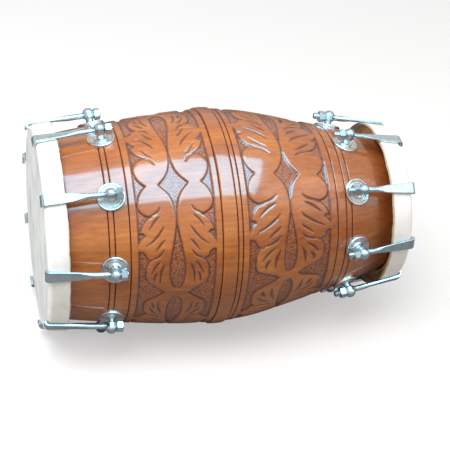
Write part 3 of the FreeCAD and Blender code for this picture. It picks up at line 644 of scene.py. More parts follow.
def turned_rows(first, last):
    """Rows for a plain ring: even steps, and close ones at each groove and band edge."""
    places = list(np.arange(first, last, ROW_STEP)) + [last]
    for groove in GROOVES:
        places += [groove + step for step in (-1.5, -1.0, -0.75, -0.4, 0, 0.4, 0.75, 1.0, 1.5)]
    steps = (-1.5, -1, -0.6, -0.3, 0, 0.4, 0.8, 1, 1.2, 1.6, 2.2, 3, 5)
    for foot, way in zip(BAND, (1, -1)):
        places += [foot + way * step for step in steps]
    kept = sorted({round(place, 3) for place in places if first <= place <= last})
    return np.array(kept)


def turned_heights(places):
    """How far the wood stands out from the barrel's own curve, and how much painted shade darkens it.
    """
    heights = np.zeros(len(places))
    dark = np.zeros(len(places))
    for groove in GROOVES:
        near = np.abs(places - groove)
        heights -= np.interp(near, [0, 0.4, 0.75, 1.0, 1.5], [GROOVE_DEPTH, 0.7, 0.28, 0.1, 0])
        # Painted shade darkens each groove
        dark = np.maximum(dark, np.interp(near, [0.4, 0.95], [1, 0]))
    from_foot = np.minimum(places - BAND[0], BAND[1] - places)
    heights += np.interp(from_foot, *BAND_EDGE)
    half = (BAND[1] - BAND[0]) / 2
    heights += BAND_CROWN * np.clip(1 - (1 - np.maximum(from_foot, 0) / half) ** 2, 0, 1)
    # Painted shade darkens the corner at each foot of the band
    dark = np.maximum(dark, np.interp(from_foot, [-0.9, -0.3, 0.3, 0.9], [0, 0.95, 0.95, 0]))
    return heights[:, None], dark[:, None]


for name, join in PLAIN_RINGS.items():
    places = turned_rows(JOINS[join], JOINS[join + 1])
    heights, dark = turned_heights(places)
    mesh = ring_mesh(name, places, heights, RING_COLUMNS, 40, carved=0 * dark, cut=dark)
    show(name, mesh, VARNISH, "drum", SHELL_SLOT, "shell")

# %% [markdown]
# ## The carved panels
# Between the turned rings the carver has sunk the ground by about two
# millimetres and left leaves standing round open diamonds. The pattern
# repeats three times round the drum and each repeat is mirrored twice, so one
# quarter of it is enough to draw. The drawing is made the way a carver marks
# out a stencil: an outer line for the leaf tips, an inner line for the diamond
# and the strokes of the veins. Every point then asks how far it is from the
# nearest line, and that distance sets its depth, which gives sloping walls
# with clean edges.

# %% Draw one quarter of the pattern and measure the distance to its lines
# The drawing's points are (millimetres along the drum, degrees round it).
# SURFACE_STEP is how many millimetres of wood one degree is, and FAR_EDGE is
# just past the quarter's end in those millimetres, where the leaf's loop closes.
PERIOD = 120.0
SURFACE_STEP = 2.339
FAR_EDGE = 141
VEIN_HALF_WIDTH = 1.9
VEIN_TIP_WIDTH = 0.12
INNER_LINE = [
    (18.5, 0), (14, 2), (9, 4.5), (5, 7.5), (2.5, 11.5), (1.3, 15), (1.3, 20.5),
    (2.4, 24), (4, 28), (5.8, 32), (7.6, 36), (9, 40.5), (9.7, 45), (9.4, 49.5),
    (8, 53), (5.6, 55.7), (2.8, 57), (0, 57.4),
]
OUTER_LINES = [
    [(32, 0), (38, 2.5), (43, 6.5), (44, 10.5), (41, 13.5), (35, 15.5), (30, 16)],
    [(28, 16.5), (34, 18), (39.5, 20.8), (43, 24.5)],
    [(43, 24.5), (39.5, 24.7), (36.5, 26.2)],
    [(36.5, 26.2), (41.5, 28), (45.5, 31), (47, 34.2)],
    [(47, 34.2), (42.5, 34.4), (38, 35.6)],
    [(38, 35.6), (36, 37.8), (32.5, 39), (29, 39.2)],
    [(29, 39.2), (33.5, 41.2), (37, 44.6)],
    [(37, 44.6), (36.4, 46.4), (37.2, 49)],
    [(37.2, 49), (34.5, 52.4), (28, 54.8), (20, 57.4), (12, 60.5)],
]
VEINS = [
    [(30, 16), (23, 14.5), (18, 11.5)],
    [(30, 39.2), (22, 37.5), (16, 34)],
    [(20, 16.5), (26, 19), (33, 23.4)],
    [(15.5, 22), (21, 25.5), (28, 29), (37, 32)],
    [(15.5, 29), (20.5, 31.6), (26, 35)],
    [(21, 40.5), (26, 43.2), (31, 47.5)],
    [(15.5, 42), (19.5, 46.5), (20.5, 53)],
    [(24.5, 47), (27, 49.5), (27.6, 52.3)],
]


def smooth_line(points, steps=6):
    """A Catmull-Rom curve through the points, in millimetres of surface."""
    points = np.array(points, float) * (1, SURFACE_STEP)
    padded = np.vstack([2 * points[0] - points[1], points, 2 * points[-1] - points[-2]])
    made = []
    for a, b, c, d in zip(padded, padded[1:], padded[2:], padded[3:]):
        for t in np.linspace(0, 1, steps, endpoint=False):
            cubic = (-a + 3 * b - 3 * c + d) * t**3 + (2 * a - 5 * b + 4 * c - d) * t**2
            made.append((cubic + (c - a) * t + 2 * b) / 2)
    return np.array(made + [points[-1]])


def distance_to(points, line, widths=None):
    """The distance from each point to a line of short steps, as a share of its width."""
    nearest = np.full(len(points), 1e9)
    widths = np.ones(len(line)) if widths is None else widths
    for start, finish, width in zip(line, line[1:], (widths[1:] + widths[:-1]) / 2):
        step = finish - start
        share = np.clip((points - start) @ step / max(step @ step, 1e-12), 0, 1)
        away = np.linalg.norm(points - start - share[:, None] * step, axis=1)
        nearest = np.minimum(nearest, away / width)
    return nearest


def gouge_widths(line):
    """A gouge enters and leaves the wood gradually, so its cut narrows to both ends."""
    share = np.linspace(0, 1, len(line))
    return VEIN_TIP_WIDTH + VEIN_HALF_WIDTH * np.sin(math.pi * share**0.8) ** 0.7


def within(points, loop):
    """Whether each point lies within a closed loop, by counting crossings."""
    held = np.zeros(len(points), bool)
    x, y = points[:, 0], points[:, 1]
    for (x0, y0), (x1, y1) in zip(loop, np.roll(loop, -1, axis=0)):
        crosses = (y0 > y) != (y1 > y)
        if crosses.any():
            held ^= crosses & (x < (x1 - x0) * (y - y0) / (y1 - y0 + 1e-12) + x0)
    return held


def mirrored(line):
    """A line and its reflections over the edges of the quarter."""
    edge = PERIOD / 2 * SURFACE_STEP
    copies = [line, line * (-1, 1), line * (1, -1), line * (-1, -1)]
    return copies + [line * (1, -1) + (0, 2 * edge), line * (-1, -1) + (0, 2 * edge)]


inner_line = smooth_line(INNER_LINE)
outer_lines = [smooth_line(line) for line in OUTER_LINES]
vein_lines = [smooth_line(line) for line in VEINS]
leaf_loop = np.vstack(outer_lines + [[(15, FAR_EDGE), (0, FAR_EDGE)], inner_line[::-1]])
print("points in the drawing:", len(leaf_loop) + sum(len(line) for line in vein_lines))

# %% [markdown]
# ### From distances to depths
# The ground lies flat at the full depth, a steep wall climbs to the edge of a
# leaf, and the leaf itself is slightly rounded, because a carver eases every
# edge with the flat of the chisel. Veins are V cuts. Painted shade is darkest
# where a wall meets the ground, and also fills the veins.

# %% Carve both panels
# For each panel, the join where it starts, its middle along the drum, the turn
# of its first diamond, and how the drawing is spread to the panel's width.
PANELS = {
    "shell_bass_panel": (1, -77.9, 53.95, ([0, 47.5], [0, 47.5])),
    "shell_treble_panel": (3, 63.55, 56.45, ([0, 17, 40.5, 55.95], [0, 18.5, 32, 47.5])),
}
WALL_SHAPE = ([-1.9, -1.3, -0.2, 0.3, 1.4, 3.4], [-2.2, -2.1, -0.75, -0.38, -0.12, 0])
VEIN_SHAPE = ([0, 0.35, 1], [1.35, 0.95, 0])
PANEL_COLUMNS = 880
PANEL_ROWS = 96


def quarter_depths(across, along):
    """Heights, ground share and painted shade for points given in the quarter's own place."""
    points = np.stack([across.ravel(), along.ravel()], -1)
    leaf_lines = [copy for line in [inner_line, *outer_lines] for copy in mirrored(line)]
    to_leaf = np.min([distance_to(points, line) for line in leaf_lines], axis=0)
    on_leaf = within(points, leaf_loop)
    signed = np.where(on_leaf, to_leaf, -to_leaf)
    veins = [(copy, gouge_widths(line)) for line in vein_lines for copy in mirrored(line)]
    to_vein = np.min([distance_to(points, line, widths) for line, widths in veins], axis=0)
    height = np.interp(signed, *WALL_SHAPE)
    height -= np.where(on_leaf, np.interp(to_vein, *VEIN_SHAPE), 0)
    ground = np.interp(signed, [-1.2, -0.4], [1, 0])
    # Painted shade where a wall meets the ground, and in the veins
    stain = np.interp(np.abs(signed + 0.9), [0.5, 1.5], [0.85, 0])
    stain = np.maximum(stain, np.where(on_leaf, np.interp(to_vein, [0.25, 0.95], [0.9, 0]), 0))
    return [value.reshape(across.shape) for value in (height, ground, stain)]


def carve(name, join, centre, diamond, spread):
    """Folds each point of a panel into the quarter and sinks it to its depth there."""
    first, last = JOINS[join : join + 2]
    places = np.linspace(first, last, PANEL_ROWS)
    across = np.interp(np.abs(places - centre), *spread)
    angles = 90 - np.degrees(full_turn(PANEL_COLUMNS))
    folded = np.abs((angles - diamond + PERIOD / 2) % PERIOD - PERIOD / 2)
    grids = np.meshgrid(across, folded * SURFACE_STEP, indexing="ij")
    height, ground, stain = quarter_depths(*grids)
    to_edge = np.minimum(places - first, last - places)[:, None]
    border = np.interp(to_edge, [0, 0.8, 2.4], [0, -0.3, -2.2])
    in_border = np.interp(to_edge, [0.8, 2.4], [0, 1])
    height = np.maximum(height, border)
    # Painted shade along the foot of the panel's border wall
    rim_painted_shade = np.interp(np.abs(to_edge - 2.2), [0.6, 1.6], [0.8, 0])
    stain = np.maximum(stain * in_border, rim_painted_shade * ground)
    mesh = ring_mesh(name, places, height, PANEL_COLUMNS, 60, carved=ground * in_border, cut=stain)
    show(name, mesh, VARNISH, "drum", SHELL_SLOT, "shell")
    print("deepest cut:", round(float(height.min()), 2), "mm")


for name, panel in PANELS.items():
    carve(name, *panel)

# %% [markdown]
# ## The two skins
# Each head is goat skin, lapped wet round a hoop and dried tight. Scraped
# rawhide is off-white and dull. It is thin enough to show its fibres as faint
# streaks, it lies a little unevenly on the hoop, and its cut edge is ragged
# and tan. A skin is built as one closed sheet: from the middle of the inside,
# out round the hoop, down the skirt, round the free edge and back over the
# outside to the middle of the face.

# %% Rawhide
def make_rawhide():
    """Clean skin on the skirt, greyer and streaky on the played face, tan at its edge."""
    finish, tree, shader, place = new_finish("scraped_rawhide")
    edge = marked(tree, "edge")
    face = marked(tree, "face")
    fibres = noise(tree, stretched(tree, place, (60, 300, 12)), 1.0, 5.0, 0.62, 0.5)
    clouds = noise(tree, place, 22.0, 4.0, 0.6, 0.3)
    fleece = noise(tree, place, 900.0, 3.0, 0.7)
    skirt = ramp(tree, clouds, (0.34, "#E6E4DC"), (0.58, "#F5F5F2"))
    streaky = sums(tree, "MULTIPLY_ADD", fibres, 0.35, sums(tree, "MULTIPLY", clouds, 0.65))
    worn = ramp(tree, streaky, (0.38, "#C0C4C1"), (0.56, "#DFE2DF"))
    skin = blend(tree, edge, blend(tree, face, skirt, worn), "#A98F6C")
    fill(tree, shader, {"Base Color": skin, "Roughness": 0.58, "Sheen Weight": 0.1})
    height = sums(tree, "MULTIPLY_ADD", fleece, 0.35, fibres)
    bumped(tree, shader, height, 0.35, 0.6)
    return finish


RAWHIDE = make_rawhide()
print("nodes in the rawhide:", len(RAWHIDE.node_tree.nodes))

# %% Lap both skins over their hoops
# The treble skirt stands off the shell, so its thick edge shows as a lip
LAPS = {BASS: 0.0, TREBLE: 1.1}
SKIN_COLUMNS = 432
RAGGED_ZONE = 9.0
LUMP_HEIGHT = 0.45


def waves(turns, counts, seed):
    """Smooth, repeatable unevenness round a ring, between -1 and 1."""
    chance = np.random.default_rng(seed)
    parts = [np.cos(count * turns + chance.uniform(0, 2 * math.pi)) for count in counts]
    return np.sum(parts, axis=0) / len(counts)


def moved(mesh, matrix):
    """Carries a mesh in metres by a matrix in millimetres."""
    carry = matrix.copy()
    carry.translation = matrix.translation * MM
    mesh.transform(carry)
    mesh.update()
    return mesh


def skin_mesh(end):
    """One closed sheet over the hoop, uneven on its skirt and ragged at its edge."""
    slope = EYE[end]["slope"]
    rim = RIMS[end]
    edge = FACE - SKIRTS[end]
    drop = math.tan(slope)
    turns = full_turn(SKIN_COLUMNS)
    bends = np.linspace(0, math.pi / 2 - slope, 10)
    face_steps = np.linspace(0.02, 1, 14) * (rim - RIM_ROUND)
    skirt_steps = np.linspace(FACE - RIM_ROUND, edge, 12)[1:]
    centre = (FACE - RIM_ROUND, rim - RIM_ROUND)

    def sheet_rows(depth):
        rows = [(FACE - depth, step) for step in face_steps]
        bend = RIM_ROUND - depth
        rows += [(centre[0] + bend * math.cos(t), centre[1] + bend * math.sin(t)) for t in bends[1:]]
        rows += [(place, rim - depth + (FACE - RIM_ROUND - place) * drop) for place in skirt_steps]
        return rows

    outer, inner = sheet_rows(0.0), sheet_rows(SKIN)
    lap = LAPS[end]
    lip = []
    if lap:
        radius = outer[-1][1] - 0.75
        lip = [(edge + 0.1, radius), (edge - lap, radius - 0.1), (edge - lap - 0.2, radius - 0.5)]
    rows = np.array(inner + lip[::-1] + outer[::-1])
    place = np.broadcast_to(rows[:, :1], (len(rows), SKIN_COLUMNS)).copy()
    radius = np.broadcast_to(rows[:, 1:], place.shape).copy()
    free = np.clip((edge + RAGGED_ZONE - rows[:, 0]) / RAGGED_ZONE, 0, 1)[:, None] ** 2
    skirted = np.clip((rows[:, 1] - rim + RIM_ROUND) / RIM_ROUND, 0, 1)[:, None]
    ragged = 0.9 * waves(turns, (3, 5, 9, 14, 23), 3) + 0.45 * waves(turns, (41, 57, 77, 101), 5)
    ragged += 1.1 * np.clip(waves(turns, (8, 13, 21, 34), 9) - 0.62, 0, 1)
    place += free * ragged
    lumps = 0.5 * waves(turns, (7, 11, 16, 25), 11) - 0.5
    radius += skirted * lumps * LUMP_HEIGHT
    mesh = grid_mesh(end + "_skin_sheet", round_axis(place, radius, turns), sharp=60)
    co = np.zeros(len(mesh.vertices) * 3, np.float32)
    mesh.vertices.foreach_get("co", co)
    co = co.reshape(-1, 3) / MM
    far = np.hypot(co[:, 1], co[:, 2])
    near_edge = np.interp(co[:, 0], [edge - 1.5, edge + 0.4, edge + 1.6], [1, 0.8, 0])
    on_face = np.interp(far, [rim - 9, rim - 2], [1, 0]) * (co[:, 0] > FACE - RIM_ROUND)
    mark_points(mesh, "edge", near_edge)
    mark_points(mesh, "face", on_face)
    return moved(mesh, end_matrix(end))


for end in SIGNS:
    mesh = skin_mesh(end)
    show(mesh.name, mesh, RAWHIDE, "drum", "rawhide", end + "_head_skin")

# %% [markdown]
# ## Plated steel
# The hooks, nuts and eyebolts are mild steel with a thin bright plating. Such
# plating is smooth but never a mirror: it shows the dull waves of the rolled
# steel under it.

# %% The three metals
def make_metal(name, tone, shade, roughness, grain, waviness):
    """Plated steel: duller where its plating thins, and faintly uneven."""
    finish, tree, shader, place = new_finish(name)
    clouds = noise(tree, place, grain, 3.0, 0.6)
    plating = ramp(tree, clouds, (0.35, shade), (0.6, tone))
    fill(tree, shader, {"Base Color": plating, "Metallic": 1.0, "Roughness": roughness})
    bumped(tree, shader, clouds, waviness)
    return finish


PLATED = make_metal("bright_plated_steel", "#D6E0E4", "#C2CED3", 0.24, 120.0, 0.006)
PRESSED = make_metal("bright_pressed_steel", "#EAE3DE", "#DAD2CD", 0.26, 80.0, 0.004)
ZINC = make_metal("dull_zinc_steel", "#B2B5B9", "#8F9397", 0.45, 300.0, 0.05)
print("metals:", PLATED.name, PRESSED.name, ZINC.name)

# %% [markdown]
# ## Hook bolts
# A hook bolt is forged from one rod. Its tail is threaded, its middle is
# round, and its other end is hammered out to a wide strip that lies on the
# skirt and bends over the rim as a claw. So the hook is lofted: a section is
# carried along the bolt and changes from a round to a rounded strip. A circle
# is a square whose corners are as round as can be, and so one formula with a
# width, a thickness and a corner radius serves the whole way. On the thread the
# radius falls and rises once for each pitch, and is shifted round with the
# angle, which makes a true helix.

# %% Loft the hooks
THREAD_RADIUS = 4.0
THREAD_DEPTH = 0.62
TAIL_FADE = 1.2
END_FADE = 1.5
PITCH = 1.25
ROWS_PER_PITCH = 8
ROD_RADIUS = 3.6
STRIP_HALF_WIDTH = 7.0
STRIP_HALF_THICKNESS = STRIP_THICKNESS / 2
STRIP_CORNER = 0.9
EYE_FLAT = 6.3
NUT_SEAT = 0.3
NUT_THICKNESS = 7.5
THREAD_PAST_EYE = 9.0
TAILS = {BASS: 1.0, TREBLE: 6.5}
STRIPS_BEFORE = {BASS: 4.0, TREBLE: 9.0}
CLAW_REACH = 8.0
CLAW_BEND = 4.2


def section(half_width, half_thick, corner, per_corner=8):
    """Points round a rounded rectangle, which is a circle when all three sizes agree."""
    made = []
    for quarter in range(4):
        angles = np.linspace(0, math.pi / 2, per_corner) + quarter * math.pi / 2
        middle = quarter * math.pi / 2 + math.pi / 4
        across = math.copysign(half_width - corner, math.cos(middle))
        up = math.copysign(half_thick - corner, math.sin(middle))
        made += [(across + corner * math.cos(a), up + corner * math.sin(a)) for a in angles]
    return np.array(made)


def swept_row(place, height, heading, points):
    """Stands a section square to the bolt's own line, which runs in the XZ plane."""
    row = np.zeros((len(points), 3))
    row[:, 0] = place - points[:, 1] * math.sin(heading)
    row[:, 1] = points[:, 0]
    row[:, 2] = height + points[:, 1] * math.cos(heading)
    return row


def hook_mesh(end):
    """One bolt from its tail to the tip of its claw, with the eye at the origin."""
    lug = EYE[end]
    steep = lug["slope"]
    edge = FACE - SKIRTS[end]
    tail = -(EYE_FLAT + NUT_SEAT + NUT_THICKNESS + TAILS[end])
    strip_start = (edge - STRIPS_BEFORE[end] - lug["place"]) / math.cos(steep)
    claw = (FACE + CLAW_CLEARANCE - lug["place"]) / math.cos(steep)
    claw += (CLAW_REACH - STRIP_HALF_THICKNESS) * math.tan(steep)
    twist = THREAD_PAST_EYE + 0.4 * (strip_start - THREAD_PAST_EYE)
    rows = []
    round_section = section(1, 1, 1)
    turns = np.arctan2(round_section[:, 1], round_section[:, 0]) / (2 * math.pi)
    # The thread fades in at the tail and out at the rod, and its crests are flat
    for place in np.arange(tail, THREAD_PAST_EYE, PITCH / ROWS_PER_PITCH):
        wave = np.abs(2 * ((place / PITCH - turns) % 1) - 1)
        fade = min((place - tail) / TAIL_FADE, 1) * min((THREAD_PAST_EYE - place) / END_FADE, 1)
        crest = THREAD_RADIUS - 0.25 * (1 - fade)
        depth = THREAD_DEPTH * np.clip(1.25 * wave - 0.12, 0, 1)
        radius = crest - depth * max(fade, 0.15)
        rows.append(swept_row(place, 0, 0, round_section * radius[:, None]))
    for share in np.linspace(0, 1, 5):
        place = THREAD_PAST_EYE + share * (twist - THREAD_PAST_EYE)
        rows.append(swept_row(place, 0, 0, section(ROD_RADIUS, ROD_RADIUS, ROD_RADIUS)))
    flat = section(STRIP_HALF_WIDTH, STRIP_HALF_THICKNESS, STRIP_CORNER)
    bend_at = claw + STRIP_HALF_THICKNESS - CLAW_BEND
    for place in np.linspace(twist, bend_at, 26)[1:]:
        share = min((place - twist) / (strip_start - twist), 1)
        eased = share * share * (3 - 2 * share)
        widened = (place - twist) / (bend_at - twist)
        width = ROD_RADIUS + (STRIP_HALF_WIDTH - ROD_RADIUS) * widened**0.8
        thick = ROD_RADIUS + (STRIP_HALF_THICKNESS - ROD_RADIUS) * eased
        corner = min(thick - 0.02, ROD_RADIUS + (STRIP_CORNER - ROD_RADIUS) * eased)
        rows.append(swept_row(place, 0, 0, section(width, thick, corner)))
    for heading in np.linspace(0, math.pi / 2, 12)[1:]:
        place = bend_at + CLAW_BEND * math.sin(heading)
        rows.append(swept_row(place, CLAW_BEND * (math.cos(heading) - 1), -heading, flat))
    bottom = STRIP_HALF_THICKNESS - CLAW_REACH
    for height, share in ((bottom + 0.7, 1.0), (bottom + 0.25, 0.93), (bottom, 0.75)):
        width = STRIP_HALF_WIDTH * (1 + share) / 2
        thin = section(width, STRIP_HALF_THICKNESS * share, STRIP_CORNER * share)
        rows.append(swept_row(claw + STRIP_HALF_THICKNESS, height, -math.pi / 2, thin))
    return grid_mesh(end + "_hook", np.array(rows), sharp=42)


def show_each(end, kind, form, source):
    """Shows a plated piece that moves by itself at each lug of an end."""
    for index in range(LUGS):
        node = f"{end}_{kind}_{index + 1}"
        name = f"{node}_{form}"
        mesh = repeated(name, source, PLATED, end, at_eye=True, first=index)
        show(name, mesh, None, node, "plated_steel", node)


for end in SIGNS:
    show_each(end, "hook", "bolt", hook_mesh(end))

# %% [markdown]
# ## Tuning nuts
# The nuts are plain M8 hexagons. A real nut is chamfered at 30 degrees on both
# faces, which cuts a curved edge on each flat, and this comes for free when
# every point's radius is the smaller of the hexagon's and the chamfer cone's.

# %% Turn the nuts
NUT_HALF_FLATS = 6.5
NUT_BORE = 4.05
NUT_COLUMNS = 72
CHAMFER = math.radians(30)


def nut_mesh():
    """One half's rows, from the bore outwards to the flats, and the same again mirrored."""
    turns = full_turn(NUT_COLUMNS)
    hexagon = NUT_HALF_FLATS / np.cos(turns % (math.pi / 3) - math.pi / 6)
    front = [(0.7, NUT_BORE + 0.1), (0, NUT_BORE + 0.75), (0, NUT_HALF_FLATS - 0.45)]
    for depth in (0.06, 0.15, 0.3, 0.45, 0.6, 0.8, 1.2):
        cone = NUT_HALF_FLATS - 0.3 + depth / math.tan(CHAMFER)
        front.append((depth, np.minimum(hexagon, cone)))
    back = [(NUT_THICKNESS - depth, radius) for depth, radius in reversed(front)]
    depths, radii = zip(*front, *back)
    places = -(EYE_FLAT + NUT_SEAT + np.array(depths))[:, None]
    radius = np.array([np.broadcast_to(row, turns.shape) for row in radii])
    return grid_mesh("nut", round_axis(places, radius, turns), rows_meet=True, sharp=25)


source = nut_mesh()
for end in SIGNS:
    show_each(end, "nut", "hexagon", source)

# %% [markdown]
# ## Eyebolts
# An eyebolt stands in the middle of each cup washer. Its head is turned with a
# domed top, milled flat where the nut bears and bored across for the hook's
# rod. The flats face along the rod, which leans less than the bolt does, so
# each point of the turned head is taken into the rod's frame and held between
# the flats. The bore is a real one, cut by a Boolean with a second shape that
# widens at both mouths, as a countersink does.

# %% Turn, flatten and bore one eyebolt for each end
HEAD_RADIUS = 7.2
HEAD_TOP = 9.3
HEAD_BOTTOM = 5.6
POST_RADIUS = 4.7
SHANK_RADIUS = 4.0
EYE_BORE = 4.4
BOLT_FOOT = 3.65
SHANK_END = -22.3
BOLT_COLUMNS = 96
BORE_COLUMNS = 48


def turned_grid(profile, columns):
    """Turns a profile of (radius, height) pairs round the Z axis."""
    turns = full_turn(columns)
    profile = np.asarray(profile, float)
    radius, height = profile[:, :1], profile[:, 1:]
    across = radius * np.cos(turns)
    along = radius * np.sin(turns)
    return np.stack([across, along, np.broadcast_to(height, across.shape)], -1)


def eyebolt_profile():
    """(radius, height) pairs from the shank's end up to the top of the dome."""
    low = EYE_HEIGHT - HEAD_BOTTOM
    wide = low + HEAD_RADIUS - POST_RADIUS
    dome = EYE_HEIGHT + HEAD_TOP - HEAD_RADIUS
    rows = [(SHANK_RADIUS - 0.6, SHANK_END), (SHANK_RADIUS, SHANK_END + 0.6)]
    rows += [(SHANK_RADIUS, BOLT_FOOT - 0.01), (POST_RADIUS + 0.5, BOLT_FOOT)]
    rows += [(POST_RADIUS + 0.5, BOLT_FOOT + 0.6), (POST_RADIUS, BOLT_FOOT + 1.1), (POST_RADIUS, low)]
    for share in (0.33, 0.66, 1):
        rows.append((POST_RADIUS + share * (HEAD_RADIUS - POST_RADIUS), low + share * (wide - low)))
    rows += [(HEAD_RADIUS, height) for height in np.linspace(wide, dome, 8)[1:]]
    angles = np.linspace(0, math.pi / 2, 12)[1:-1]
    rows += [(HEAD_RADIUS * math.cos(a), dome + HEAD_RADIUS * math.sin(a)) for a in angles]
    rows.append((0.4, EYE_HEIGHT + HEAD_TOP))
    return rows


def eyebolt_mesh(end):
    """One bolt standing on Z, with its flats and its bore square to the rod."""
    lug = EYE[end]
    grid = turned_grid(eyebolt_profile(), BOLT_COLUMNS)
    to_rod = Matrix.Rotation(lug["slope"] - lug["lean"], 4, "Y")
    to_rod.translation = (0, 0, EYE_HEIGHT)
    turn = np.array(to_rod.to_3x3())
    points = (grid - (0, 0, EYE_HEIGHT)) @ turn
    head = grid[..., 2] > EYE_HEIGHT - HEAD_BOTTOM - 0.5
    points[..., 0] = np.where(head, np.clip(points[..., 0], -EYE_FLAT, EYE_FLAT), points[..., 0])
    bolt = grid_mesh(end + "_eyebolt", points @ turn.T + (0, 0, EYE_HEIGHT), sharp=35)
    bore = [(EYE_BORE + 3, -12), (EYE_BORE + 0.7, -EYE_FLAT - 0.05), (EYE_BORE, -EYE_FLAT + 0.7)]
    bore += [(radius, -place) for radius, place in reversed(bore)]
    across = turned_grid(bore, BORE_COLUMNS)[..., [2, 1, 0]] * (1, 1, -1)
    drill = grid_mesh(end + "_drill", across, sharp=30)
    moved(drill, to_rod)
    body, cutter = (placed(mesh.name, mesh) for mesh in (bolt, drill))
    cut = body.modifiers.new("bore", "BOOLEAN")
    cut.operation = "DIFFERENCE"
    cut.solver = "EXACT"
    cut.object = cutter
    bored = settled(body)
    bpy.data.objects.remove(cutter)
    smooth(bored, 35)
    return bored


def show_ring(name, source, finish, end, slot, node):
    """Shows a piece that stays on the drum at all lugs of an end, as one mesh."""
    mesh = repeated(name, source, finish, end, at_eye=False, count=LUGS)
    show(name, mesh, None, "drum", slot, node)


for end in SIGNS:
    name = end + "_eyebolt_ring"
    show_ring(name, eyebolt_mesh(end), PLATED, end, "plated_steel", end + "_eyebolts")

# %% [markdown]
# ## Cup washers
# The cup washer is pressed from bright sheet. Its rolled rim stands up like a
# saucer's, fine rings run round the dish, and a boss in the middle carries the
# eyebolt. The wood under it is round, so the lower edge of the rim follows the
# barrel down on both sides and leaves no gap.

# %% Press one cup washer and repeat it
CUP_RADIUS = 17.0
CUP_TOP = 3.05
CUP_BORE = 4.4
CUP_COLUMNS = 144
BEAD = 1.35
DISH = (9.3, 13.8)
RIPPLE_HEIGHT = 0.22
RIPPLE_LENGTH = 2.3
BOSS = [(9.0, 1.5), (8.6, 1.72), (8.1, 2.6), (7.75, 3.3), (7.3, 3.55), (6.8, 3.62), (CUP_BORE, 3.62)]


def cup_profile():
    """(radius, height) pairs: under the washer, round its bead, over the dish to the boss."""
    rows = [(CUP_BORE, 0.1), (CUP_RADIUS - 0.9, 0.1), (CUP_RADIUS - 0.1, 0.15), (CUP_RADIUS, 0.6)]
    for angle in np.radians(np.arange(-10, 171, 15)):
        radius = CUP_RADIUS - BEAD + BEAD * math.cos(angle)
        rows.append((radius, CUP_TOP - BEAD + BEAD * math.sin(angle)))
    rows.append((CUP_RADIUS - 2.85, 1.62))
    for radius in np.arange(CUP_RADIUS - 3.2, DISH[0], -0.28):
        ripple = RIPPLE_HEIGHT * math.cos(2 * math.pi * (radius - DISH[0]) / RIPPLE_LENGTH)
        rows.append((radius, np.interp(radius, DISH, [1.5, 1.72]) + ripple))
    return rows + BOSS


def cup_mesh(end):
    """One washer standing on Z, whose lower edge follows the round wood."""
    grid = turned_grid(cup_profile(), CUP_COLUMNS)
    wood = SIDES[end].radius(LUG_PLACES[end]) / math.cos(EYE[end]["lean"])
    fall = wood - np.sqrt(wood**2 - grid[..., 1] ** 2)
    grid[..., 2] -= np.where(grid[..., 2] < 0.4, fall + 0.15, 0)
    return grid_mesh(end + "_cup", grid, rows_meet=True, sharp=50)


for end in SIGNS:
    name = end + "_cup_ring"
    show_ring(name, cup_mesh(end), PRESSED, end, "pressed_steel", end + "_cup_washers")

# %% [markdown]
# ## Hoops, paste and the nuts inside
# These keep the CAD model's own shapes, which are right as they stand. Only
# their finishes are new. The hoop is a strip of bent wood, so its grain runs
# round the drum, and the paste on the inside of the bass skin is a dried black
# cake of tar, clay and sand, with fine cracks.

# %% Finish the pieces that keep their CAD shape
def make_hoop_wood():
    """Pale wood whose grain runs round the drum."""
    finish, tree, shader, place = new_finish("raw_bent_wood")
    along, aside, height = add(tree, "ShaderNodeSeparateXYZ", {0: place}).outputs
    up = sums(tree, "SUBTRACT", height, AXIS_HEIGHT * MM)
    turn = sums(tree, "ARCTAN2", aside, up)
    squares = sums(tree, "MULTIPLY_ADD", up, up, sums(tree, "MULTIPLY", aside, aside))
    outwards = sums(tree, "SQRT", squares)
    rolled = add(tree, "ShaderNodeCombineXYZ", {0: along, 1: outwards, 2: turn}).outputs[0]
    grain = noise(tree, stretched(tree, rolled, (420, 420, 5)), 1.0, 4.0, 0.6, 0.4)
    tone = ramp(tree, grain, (0.3, "#8C6238"), (0.5, "#B98A5A"), (0.7, "#D0A676"))
    fill(tree, shader, {"Base Color": tone, "Roughness": 0.7})
    bumped(tree, shader, grain, 0.3, 0.6)
    return finish


def make_paste():
    """Black cake with sand in it, cracked into cells."""
    finish, tree, shader, place = new_finish("dried_tuning_paste")
    cells = {"Vector": place, "Scale": 160.0, "Randomness": 1.0}
    cracks = add(tree, "ShaderNodeTexVoronoi", cells, feature="DISTANCE_TO_EDGE").outputs[0]
    sand = noise(tree, place, 1400.0, 3.0, 0.7)
    tone = ramp(tree, cracks, (0.0, "#050403"), (0.06, "#1C1714"))
    fill(tree, shader, {"Base Color": tone, "Roughness": 0.85})
    opened = sums(tree, "MINIMUM", cracks, 0.06)
    height = sums(tree, "MULTIPLY_ADD", opened, 12.0, sums(tree, "MULTIPLY", sand, 0.3))
    bumped(tree, shader, height, 0.4, 0.7)
    return finish


def refinish(node, material):
    """Gives a piece of the CAD model another material."""
    for each in frame["nodes"][node].material_slots:
        each.link = "OBJECT"
        each.material = material


HOOP_WOOD = make_hoop_wood()
refinish("bass_tuning_paste", make_paste())
for end in SIGNS:
    refinish(end + "_hoop", HOOP_WOOD)
    refinish(end + "_inner_washers", ZINC)
    refinish(end + "_inner_nuts", ZINC)
print("refinished:", 1 + 3 * len(SIGNS), "nodes")

# %% [markdown]
# ## Light and floor
# The photograph was taken on white, with a soft light over the drum and a pale
# window that shows as a broad band on the varnish. The lamps stay at a plain
# level, at which each colour renders about as it is written. The window is
# seen only in reflections, so it adds no light to the floor.

# %% Light the drum
DAYLIGHT = 0.62
MIRROR_GAIN = 0.43
FLOOR_GLOW = 0.42


